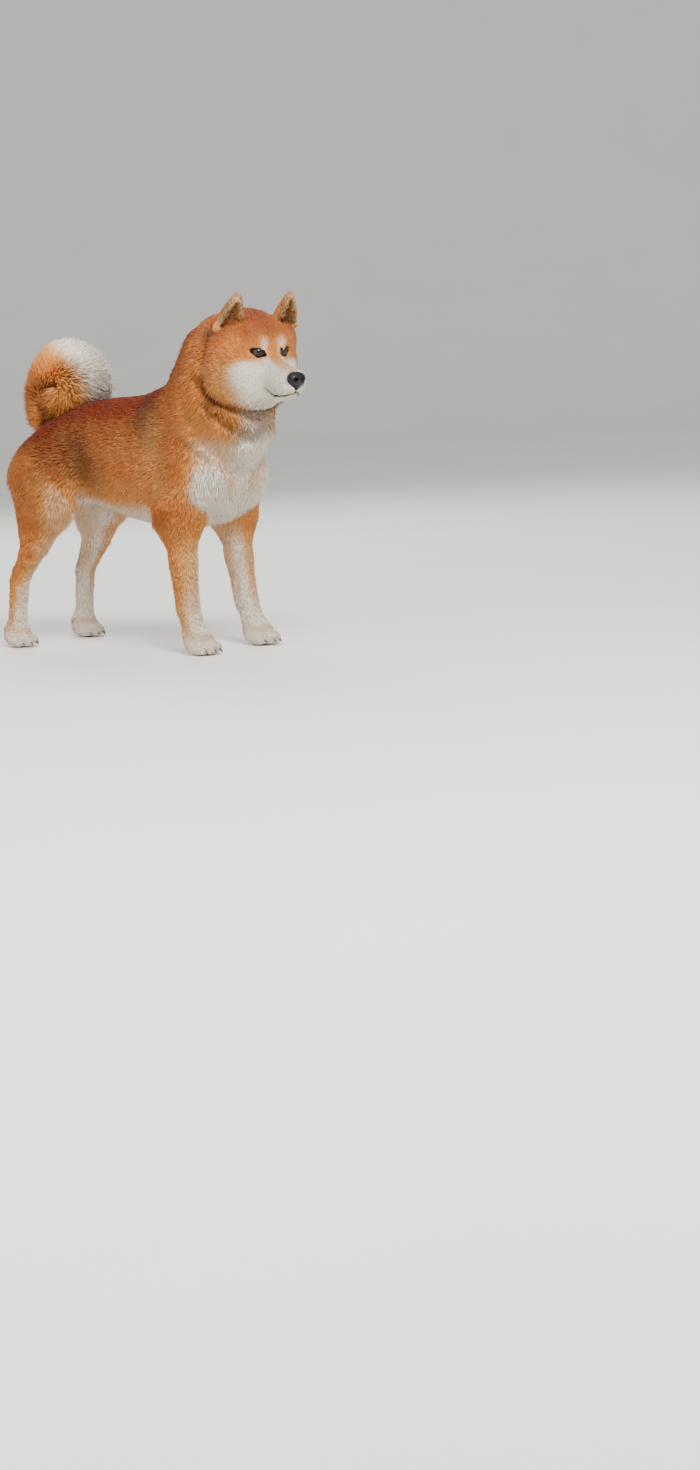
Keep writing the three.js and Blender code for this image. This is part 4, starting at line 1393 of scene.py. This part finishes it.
@dataclass
class Coat:
    """Tufts of hair over the skin, laid by a node tree and made real."""

    skin: bpy.types.Object
    wobble: float = 0.32
    size_change: float = 0.3
    patch: float = 0.003

    def tuft(self) -> bpy.types.Object:
        """One thin tuft: along X, up Z, bent over, with its root sunk; ten triangles."""
        rings = ((0.0, -0.12, 0.42), (0.45, 0.62, 0.5))
        points, faces = [], [[0, 2, 1]]
        for along, up, half in rings:
            points += [(along, -half, up - 0.08), (along, half, up - 0.08), (along, 0.0, up + 0.12)]
        points.append((1.0, 0.0, 1.0))
        for i in range(3):
            j = (i + 1) % 3
            faces += [[i, j, 3 + j], [i, 3 + j, 3 + i], [3 + i, 3 + j, 6]]
        places = np.array(points)
        mesh = mesh_of("tuft", places, faces)
        # along, from root to tip, darkens the root as painted shade in the finish
        store(mesh, "along", places[:, 0])
        patch = np.stack([places[:, 0], places[:, 1] + 0.5, np.zeros(len(places))], 1)
        store(mesh, "patch", patch * self.patch)
        made = object_of("tuft_shape", mesh)
        made.hide_render = True
        return made

    def tree(self) -> bpy.types.NodeTree:
        """The node tree: scatter by density, turn by the lie, scale, realize, unwrap, dress."""
        tree = bpy.data.node_groups.new("coat_tufts", "GeometryNodeTree")
        face = tree.interface
        face.new_socket("Geometry", in_out="OUTPUT", socket_type="NodeSocketGeometry")
        face.new_socket("Geometry", in_out="INPUT", socket_type="NodeSocketGeometry")
        for name, kind in (
            ("Tuft", "NodeSocketObject"),
            ("Density", "NodeSocketFloat"),
            ("Wobble", "NodeSocketFloat"),
            ("Size change", "NodeSocketFloat"),
            ("Seed", "NodeSocketInt"),
            ("Finish", "NodeSocketMaterial"),
        ):
            face.new_socket(name, in_out="INPUT", socket_type=kind)
        nodes = Nodes(tree)
        given = nodes.put("NodeGroupInput").outputs

        def field(name: str, kind: str) -> bpy.types.NodeSocket:
            """An attribute of the skin."""
            return nodes.add("GeometryNodeInputNamedAttribute", {"data_type": kind}, {"Name": name})

        def math_of(operation: str, a: object, b: object) -> bpy.types.NodeSocket:
            """A Math node on two values."""
            return nodes.add("ShaderNodeMath", {"operation": operation}, {0: a, 1: b})

        def vector(operation: str, a: object, b: object) -> bpy.types.NodeSocket:
            """A Vector Math node on two values."""
            return nodes.add("ShaderNodeVectorMath", {"operation": operation}, {0: a, 1: b})

        def chance(low: object, high: object, salt: int) -> bpy.types.NodeSocket:
            """A random number for each tuft."""
            seed = math_of("ADD", given["Seed"], float(salt))
            inputs = {"Min": low, "Max": high, "Seed": seed}
            return nodes.add("FunctionNodeRandomValue", {"data_type": "FLOAT"}, inputs)

        def keep(geometry: object, name: str, value: object, kind: str, domain: str) -> object:
            """Stores a value on the points or the corners."""
            settings = {"data_type": kind, "domain": domain}
            inputs = {"Geometry": geometry, "Name": name, "Value": value}
            return nodes.add("GeometryNodeStoreNamedAttribute", settings, inputs)

        density = math_of("MULTIPLY", field("patch_density", "FLOAT"), given["Density"])
        scatter = nodes.put(
            "GeometryNodeDistributePointsOnFaces",
            {"distribute_method": "RANDOM"},
            {"Mesh": given["Geometry"], "Density": density, "Seed": given["Seed"]},
        )
        points, normal = scatter.outputs["Points"], scatter.outputs["Normal"]
        root = field(UV_NAME, "FLOAT_VECTOR")
        kept = keep(points, "root_uv", root, "FLOAT_VECTOR", "POINT")
        kept = keep(kept, "tone", chance(0.0, 1.0, 5), "FLOAT", "POINT")
        shake = nodes.add(
            "FunctionNodeRandomValue",
            {"data_type": "FLOAT_VECTOR"},
            {"Min": (-1.0, -1.0, -1.0), "Max": (1.0, 1.0, 1.0), "Seed": given["Seed"]},
        )
        shake = nodes.add(
            "ShaderNodeVectorMath", {"operation": "SCALE"}, {0: shake, "Scale": given["Wobble"]}
        )
        way = vector("ADD", field("lie", "FLOAT_VECTOR"), shake)
        turned = nodes.add(
            "FunctionNodeAxesToRotation",
            {"primary_axis": "Z", "secondary_axis": "X"},
            {"Primary Axis": normal, "Secondary Axis": way},
        )
        least = math_of("SUBTRACT", 1.0, given["Size change"])
        most = math_of("ADD", 1.0, given["Size change"])
        longer, wider, higher = (chance(least, most, salt) for salt in (1, 2, 3))
        change = nodes.add("ShaderNodeCombineXYZ", inputs={0: longer, 1: wider, 2: higher})
        size = vector("MULTIPLY", field("size", "FLOAT_VECTOR"), change)
        shape = nodes.add(
            "GeometryNodeObjectInfo", inputs={"Object": given["Tuft"]}, out="Geometry"
        )
        placed = nodes.add(
            "GeometryNodeInstanceOnPoints",
            inputs={"Points": kept, "Instance": shape, "Rotation": turned, "Scale": size},
        )
        real = nodes.add("GeometryNodeRealizeInstances", inputs={"Geometry": placed})
        spread = vector("ADD", field("root_uv", "FLOAT_VECTOR"), field("patch", "FLOAT_VECTOR"))
        laid = keep(real, UV_NAME, spread, "FLOAT2", "CORNER")
        dressed = nodes.add(
            "GeometryNodeSetMaterial", inputs={"Geometry": laid, "Material": given["Finish"]}
        )
        nodes.put("NodeGroupOutput", inputs={0: dressed})
        return tree

    def build(self, finish: bpy.types.Material) -> list[bpy.types.Object]:
        """Grows every patch as a piece of its own.

        Args:
            finish: The coat's material.

        Returns:
            The pieces.
        """
        tuft, tree = self.tuft(), self.tree()
        sockets = [item for item in tree.interface.items_tree if item.in_out == "INPUT"]
        names = {item.name: item.identifier for item in sockets}
        mesh = self.skin.data
        area = self._areas(mesh)
        points = coordinates(mesh)
        made = []
        for patch in PATCHES:
            share = self._density(mesh, points, patch)
            store(mesh, "patch_density", share)
            per_area = patch.tufts / max(float((share * area).sum()), 1e-9)
            modifier = self.skin.modifiers.new("tufts", "NODES")
            modifier.node_group = tree
            for name, value in (
                ("Tuft", tuft),
                ("Density", per_area),
                ("Wobble", self.wobble),
                ("Size change", self.size_change),
                ("Seed", patch.seed),
                ("Finish", finish),
            ):
                modifier[names[name]] = value
            grown = made_real(self.skin)
            self.skin.modifiers.remove(modifier)
            self._tidy(grown)
            made.append(object_of(patch.name, grown))
            mesh.attributes.remove(mesh.attributes["patch_density"])
        bpy.data.objects.remove(tuft)
        return made

    @staticmethod
    def _areas(mesh: bpy.types.Mesh) -> Array:
        """The area round each point."""
        area = np.zeros(len(mesh.polygons))
        mesh.polygons.foreach_get("area", area)
        corners = np.zeros(len(mesh.loops), np.int32)
        mesh.loops.foreach_get("vertex_index", corners)
        sides = np.zeros(len(mesh.polygons), np.int32)
        mesh.polygons.foreach_get("loop_total", sides)
        return np.bincount(corners, np.repeat(area / sides, sides), minlength=len(mesh.vertices))

    @staticmethod
    def _density(mesh: bpy.types.Mesh, points: Array, patch: CoatPatch) -> Array:
        """The density of a patch's tufts at each point, none outside its regions."""

        def read(name: str) -> Array:
            """A stored number of every point."""
            values = np.zeros(len(points), np.float32)
            mesh.attributes[name].data.foreach_get("value", values)
            return values.astype(float)

        share = sum(read(f"in_{region.name.lower()}") for region in patch.regions)
        if patch.side:
            share = share * rise(patch.side * points[:, 1], -0.004, 0.004)
        return share * read("density")

    @staticmethod
    def _tidy(mesh: bpy.types.Mesh) -> None:
        """Keeps only the mesh's own data, the map, and what the finish reads."""
        keep = {"position", ".edge_verts", ".corner_vert", ".corner_edge", "sharp_face"}
        keep |= {"material_index", "markings", "tone", "along", UV_NAME}
        for name in [a.name for a in mesh.attributes if a.name not in keep and not a.is_internal]:
            mesh.attributes.remove(mesh.attributes[name])


# ---------------------------------------------------------------------------------------------
# Face and feet


@dataclass
class Eye:
    """An eyeball set deep between its lids. The side is 1 for the left eye."""

    side: int
    centre: Vector
    radius: float = 10.5
    reach: float = 13.0
    width: float = 23.0
    opening: float = 9.6
    slit: tuple[float, float] = (11.6, 4.8)
    slant: float = 0.22

    def axes(self) -> tuple[Array, Array, Array]:
        """Across, up and out, in the head's frame."""
        return EyePlace(self.side).axes()

    def depth(self, sx: Array, sy: Array) -> Array:
        """How far the ball stands out of its middle plane at a place across and up."""
        wide = np.where(np.asarray(sx) * self.side > 0, self.reach, self.radius)
        inside = 1 - (np.asarray(sx) / wide) ** 2 - (np.asarray(sy) / self.radius) ** 2
        return self.radius * np.sqrt(np.maximum(inside, 0))

    def opened(self, head: Array) -> tuple[Array, Array]:
        """How far places of the skin lie in the opening, and how far each is in front of the ball.

        Args:
            head: Places in the head's millimetres.

        Returns:
            The share inside the opening, and the distance in front of the ball.
        """
        across, up, out = self.axes()
        q = head - HEAD.within(np.array([self.centre]))[0]
        sx, sy, front = q @ across, q @ up, q @ out
        t = sx * self.side
        half = self.slit[1] * np.maximum(1 - (t / self.slit[0]) ** 2, 0) ** 0.8
        past = np.abs(sy - self.slant * t - 0.4) - half
        inside = rise(past, 0.9, -0.3) * (np.abs(t) < 12) * (front > 0)
        return inside, front - self.depth(sx, sy)

    def ball(self) -> bpy.types.Object:
        """The eyeball, with a slight bulge over the iris and its distance from the gaze stored."""
        rings, sides = 40, 48
        across, up, out = self.axes()
        gaze = unit((out + np.array([0.12, -0.05 * self.side, 0.0]))[None, :])[0] * self.radius
        points = []
        for r in range(1, rings):
            polar = math.pi * r / rings
            for i in range(sides):
                turn = 2 * math.pi * i / sides
                side_way = math.cos(turn) * across + math.sin(turn) * up
                points.append(math.cos(polar) * out + math.sin(polar) * side_way)
        faces = ring_faces(rings - 1, sides)[:-2]
        count = len(points)
        points += [out, -out]
        for i in range(sides):
            j = (i + 1) % sides
            faces.append([count, j, i])
            faces.append([count + 1, count - sides + i, count - sides + j])
        ways = unit(np.array(points))
        outer = np.maximum(ways @ across * self.side, 0) * (self.reach - self.radius) * self.side
        places = ways * self.radius + outer[:, None] * across
        off = places - gaze
        from_gaze = np.hypot(off @ across, off @ up) / self.radius + rise(ways @ out, 0.0, -0.2)
        places = places * (1 + 0.04 * rise(from_gaze, 0.62, 0.2))[:, None]
        middle = HEAD.within(np.array([self.centre]))[0]
        mesh = mesh_of(self._name("eyeball"), HEAD.out(middle + places), faces)
        store(mesh, "from_gaze", from_gaze)
        return object_of(mesh.name, mesh)

    def lids(self, skin: bpy.types.Object) -> bpy.types.Object:
        """Both lids as one dark rim round the almond opening, lying on the skin and on the ball.

        Args:
            skin: The skin that the lids lie on.

        Returns:
            The rim.
        """
        across, up, out = self.axes()
        middle = HEAD.within(np.array([self.centre]))[0]
        tree = surface_tree(skin.data)
        inward = Vector(HEAD.directions(-out[None, :])[0])
        outline = np.array(self._almond(64))
        away = unit(outline * np.array([1.0, 2.2]))
        clear = 30.0  # millimetres in front of the head, where the rays start
        section = ((-0.6, -1.6), (-0.3, 0.7), (0.5, 1.4), (1.4, 1.2), (2.2, -0.3), (1.0, -2.2))
        flats = np.stack([outline + away * wide for wide, _ in section], 1)
        depths = np.zeros(flats.shape[:2])
        for i, j in np.ndindex(depths.shape):
            sx, sy = flats[i, j]
            start = middle + across * sx + up * sy + out * clear
            hit, _, _, gap = tree.ray_cast(Vector(HEAD.out(start[None, :])[0]), inward)
            surface = clear - gap / MM if hit else 0.0
            depths[i, j] = min(max(surface, float(self.depth(sx, sy))), self.radius + 1.0)
        for _ in range(4):
            depths = 0.5 * depths + 0.25 * (np.roll(depths, 1, 0) + np.roll(depths, -1, 0))
        depths = depths + np.array(section)[:, 1]
        points = [
            middle + across * flats[i, j, 0] + up * flats[i, j, 1] + out * depths[i, j]
            for i, j in np.ndindex(depths.shape)
        ]
        faces = ring_faces(len(outline), len(section), closed=True)
        mesh = mesh_of(self._name("lids"), HEAD.out(np.array(points)), faces)
        return object_of(mesh.name, mesh)

    def _almond(self, count: int) -> list[tuple[float, float]]:
        """The opening's outline, its outer corner raised.

        Args:
            count: How many points it has.

        Returns:
            The points, across and up, in millimetres.
        """
        half, high = self.side * self.width / 2, self.opening
        inner, outer = (-half, -3.2), (half, 2.6)
        upper = ((-half * 0.4, high * 0.72), (half * 0.5, high * 0.74))
        lower = ((half * 0.5, -high * 0.42), (-half * 0.4, -high * 0.6))

        def bend(a: tuple, b: tuple, c: tuple, d: tuple, t: float) -> tuple[float, float]:
            """A place on the curve from a to d that b and c pull out."""
            w = ((1 - t) ** 3, 3 * t * (1 - t) ** 2, 3 * t * t * (1 - t), t**3)
            return tuple(sum(k * p[n] for k, p in zip(w, (a, b, c, d))) for n in (0, 1))

        steps = [i / (count // 2) for i in range(count // 2)]
        above = [bend(inner, *upper, outer, t) for t in steps]
        return above + [bend(outer, *lower, inner, t) for t in steps]

    def _name(self, piece: str) -> str:
        """The piece's name on this side."""
        return f"{piece}_{'left' if self.side > 0 else 'right'}"


@dataclass
class Nose:
    """The nose pad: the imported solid's form, rounded and fine."""

    node: bpy.types.Object
    voxel: float = 0.0008
    smoothing: int = 4

    def build(self) -> bpy.types.Object:
        """Makes the nose."""
        work = merged_copy(self.node)
        rough = bpy.data.meshes.new("nose_rough")
        work.to_mesh(rough)
        work.free()
        mesh = remeshed(rough, self.voxel)
        near = Neighbours(mesh)
        points = coordinates(mesh)
        for _ in range(self.smoothing):
            points = points + 0.5 * (near.average(points) - points)
        move_to(mesh, points)
        return object_of("nose_pad", mesh)


@dataclass
class Mouth:
    """The dark edge of the lips, from corner to corner under the nose."""

    skin: bpy.types.Object
    half: float = 1.2
    proud: float = 0.9
    count: int = 80
    sides: int = 8

    def build(self) -> bpy.types.Object:
        """Makes the lip line as a tube that thins towards both corners."""
        tree = surface_tree(self.skin.data)
        line = []
        for i in range(self.count + 1):
            share = 2 * i / self.count - 1
            turn = math.radians(share * MOUTH.turn)
            way = np.array([math.cos(turn), math.sin(turn), 0.0])
            start = np.array([MOUTH.start, 0.0, float(MOUTH.height(np.array(share)))])
            far = HEAD.out((start + way * 60)[None, :])[0]
            back = HEAD.directions(-way[None, :])[0]
            hit, _, _, _ = tree.ray_cast(Vector(far), Vector(back))
            place = HEAD.within(np.array([hit]))[0] if hit else start + way * 20
            line.append(place + way * self.proud)
        line = np.array(line)
        for _ in range(3):
            line[1:-1] = 0.5 * line[1:-1] + 0.25 * (line[:-2] + line[2:])
        way = unit(np.gradient(line, axis=0))
        points = []
        up = np.array([0.0, 0.0, 1.0])
        for i, place in enumerate(line):
            thin = math.sin(math.pi * min(max(i / self.count, 0.02), 0.98)) ** 0.35
            out = np.cross(way[i], up)
            for k in range(self.sides):
                turn = 2 * math.pi * k / self.sides
                r = self.half * thin
                points.append(place + math.cos(turn) * out * r + math.sin(turn) * up * r)
        mesh = mesh_of("lips", HEAD.out(np.array(points)), ring_faces(self.count + 1, self.sides))
        return object_of("lips", mesh)


@dataclass
class Claws:
    """Four curved claws on each paw."""

    heels: tuple[tuple[float, float, float], ...] = (
        (0.0, 65.0, 1.0),
        (0.0, -65.0, 1.0),
        (-376.0, 72.0, 0.94),
        (-376.0, -72.0, 0.94),
    )
    toes: tuple[tuple[float, float, float], ...] = (
        (20.0, -15.0, 13.0),
        (28.0, -5.6, 14.0),
        (28.0, 5.6, 14.0),
        (20.0, 15.0, 13.0),
    )
    length: float = 8.5
    half: float = 1.8
    blunt: float = 0.15
    set_back: float = 3.5
    root_height: float = 9.5
    rings: int = 7
    sides: int = 8

    def build(self) -> bpy.types.Object:
        """Makes all the claws as one piece."""
        points, faces, along = [], [], []
        for x0, y0, size in self.heels:
            for x, y, reach in self.toes:
                ahead = size * (x + reach - self.set_back)
                root = np.array([x0 + ahead, y0 + size * y * 1.05, size * self.root_height])
                faces += [[len(points) + i for i in f] for f in ring_faces(self.rings, self.sides)]
                for r in range(self.rings):
                    u = r / (self.rings - 1)
                    points += self._ring(root, size, u)
                    along += [u] * self.sides
        places = (np.array(points) + np.array([BUILD_SHIFT, 0, 0])) * MM
        mesh = mesh_of("claws", places, faces)
        store(mesh, "along", np.array(along))
        return object_of("claws", mesh)

    def _ring(self, root: Array, size: float, u: float) -> list[Array]:
        """One ring of a claw.

        Args:
            root: Where the claw leaves the toe, in the build's millimetres.
            size: The paw's size beside the fore paw's.
            u: The share of the way to the tip.

        Returns:
            The ring's points.
        """
        bend = 0.25 + 0.95 * u
        step = np.array([math.sin(1.15) * u - 0.12 * u * u, 0.0, -0.62 * u * u - 0.12 * u])
        middle = root + step * self.length * size
        half = self.half * size * (1 - u) ** 0.7 + self.blunt
        ring = []
        for k in range(self.sides):
            turn = 2 * math.pi * k / self.sides
            lift = math.sin(turn)
            side = np.array([math.sin(bend) * lift, math.cos(turn), math.cos(bend) * lift])
            ring.append(middle + side * half * np.array([1, 0.8, 1]))
        return ring


# ---------------------------------------------------------------------------------------------
# Studio


@dataclass
class Studio:
    """The photograph's viewpoint, a pale floor and soft light."""

    azimuth: float = 43.8
    distance: float = 4.0
    height: float = 0.4294
    roll: float = 3.159
    focal: float = 2684.0
    frame: tuple[int, int] = (700, 1470)
    target_in_frame: tuple[float, float] = (178.1, 473.3)
    target: tuple[float, float, float] = (0.02145, 0.0, 0.26)
    lit: tuple[float, float, float] = (0.0, 0.0, 0.28)
    floor_half: float = 9.0
    sweep: float = 3.0
    wall: float = 12.0

    def camera(self) -> None:
        """Sets the camera so that the target falls where the photograph has it."""
        a = math.radians(self.azimuth)
        back = Vector((math.sin(a), -math.cos(a), 0.0))
        target = Vector(self.target)
        place = target + back * self.distance
        place.z = self.height
        look = (target - place).to_track_quat("-Z", "Y")
        rolled = look @ Matrix.Rotation(math.radians(-self.roll), 3, "Z").to_quaternion()
        width, height = self.frame
        right, down = self.target_in_frame
        aside = Vector((right - width / 2, height / 2 - down, -self.focal))
        turned = rolled @ aside.rotation_difference(Vector((0, 0, -1)))
        data = bpy.data.cameras.new("camera")
        data.sensor_width = 36.0
        data.lens = self.focal / height * data.sensor_width
        data.clip_end = 50.0
        camera = bpy.data.objects.new("camera", data)
        camera.rotation_mode = "QUATERNION"
        camera.location = place
        camera.rotation_quaternion = turned
        bpy.context.scene.collection.objects.link(camera)
        bpy.context.scene.camera = camera

    def lights(self) -> None:
        """A large key light, a fill and a light from behind, and a pale sky."""
        for name, place, size, power in (
            ("key", (2.3, -1.6, 2.8), 1.3, 215.0),
            ("fill", (0.4, -3.4, 1.5), 2.6, 40.0),
            ("back", (-2.2, 1.8, 2.4), 1.8, 75.0),
        ):
            data = bpy.data.lights.new(name, "AREA")
            data.size = size
            data.energy = power
            light = bpy.data.objects.new(name, data)
            light.location = place
            light.rotation_mode = "QUATERNION"
            way = Vector(self.lit) - Vector(place)
            light.rotation_quaternion = way.to_track_quat("-Z", "Y")
            bpy.context.scene.collection.objects.link(light)
        world = bpy.data.worlds.new("sky")
        bpy.context.scene.world = world
        world.use_nodes = True
        ground = world.node_tree.nodes["Background"]
        ground.inputs["Color"].default_value = (0.95, 0.97, 1.0, 1.0)
        ground.inputs["Strength"].default_value = 0.7

    def floor(self) -> bpy.types.Object:
        """A wide floor that sweeps up far behind."""
        half, sweep, steps = self.floor_half, self.sweep, 16
        rows = [(-half, 0.0)]
        for i in range(steps + 1):
            a = math.pi / 2 * i / steps
            rows.append((half + sweep * math.sin(a), sweep - sweep * math.cos(a)))
        rows.append((half + sweep, self.wall))
        points, faces = [], []
        turn = Matrix.Rotation(math.radians(self.azimuth), 3, "Z")
        for r, (y, z) in enumerate(rows):
            for x in (-2 * half, 2 * half):
                points.append(tuple(turn @ Vector((x, y, z))))
            if r:
                faces.append([2 * r - 2, 2 * r - 1, 2 * r + 1, 2 * r])
        mesh = bpy.data.meshes.new("floor")
        mesh.from_pydata(points, [], faces)
        mesh.polygons.foreach_set("use_smooth", np.ones(len(mesh.polygons), bool))
        return object_of("floor", mesh)


# ---------------------------------------------------------------------------------------------
# The dog


class Dog:
    """Builds the pieces in order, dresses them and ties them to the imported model."""

    def __init__(self, frame: dict[str, object]) -> None:
        """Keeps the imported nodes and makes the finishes."""
        self.nodes: dict[str, bpy.types.Object] = frame["nodes"]
        self.coat = CoatFinish().make()
        self.skin_dark = WetSkinFinish().make()
        lid = WetSkinFinish(name="lid_skin", pebble=1500.0, depth=0.0002, roughness=0.35)
        self.rim_dark = lid.make()
        self.eye = EyeFinish().make()
        self.horn = ClawFinish().make()

    def place(
        self,
        piece: bpy.types.Object,
        finish: bpy.types.Material | None,
        slot: str | None,
        stands_for: Sequence[str] = (),
    ) -> None:
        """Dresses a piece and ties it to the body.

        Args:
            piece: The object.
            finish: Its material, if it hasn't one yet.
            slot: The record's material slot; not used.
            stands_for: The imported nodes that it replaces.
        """
        if finish is not None:
            piece.data.materials.clear()
            piece.data.materials.append(finish)
        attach(piece, BODY)
        if stands_for:
            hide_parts(*stands_for)
        count = sum(len(p.vertices) - 2 for p in piece.data.polygons)
        log.info("%s: %d triangles", piece.name, count)

    def build(self) -> None:
        """Makes every piece."""
        eyes = {}
        for side, node in ((1, "eye_left"), (-1, "eye_right")):
            low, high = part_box(node)
            eyes[node] = Eye(side, (low + high) / 2)
        skin = Skin(self.nodes, tuple(eyes.values())).build()
        tufts = Coat(skin).build(self.coat)
        self.place(skin, self.coat, "coat", list(NODE_REGION) + ["tail"])
        for piece in tufts:
            self.place(piece, None, "coat")
        for node, eye in eyes.items():
            self.place(eye.ball(), self.eye, "eye", [node])
            self.place(eye.lids(skin), self.rim_dark, "nose")
        self.place(Nose(self.nodes["nose"]).build(), self.skin_dark, "nose", ["nose"])
        self.place(Mouth(skin).build(), self.rim_dark, "nose")
        self.place(Claws().build(), self.horn, "nose")


def main() -> None:
    """Builds the studio and the dog."""
    logging.basicConfig(level=logging.INFO, format="%(name)s %(message)s")
    bpy.ops.wm.read_factory_settings(use_empty=True)
    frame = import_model()
    studio = Studio()
    studio.camera()
    studio.lights()
    floor = studio.floor()
    floor.data.materials.append(FloorFinish().make())
    Dog(frame).build()


if __name__ == "__main__":
    main()
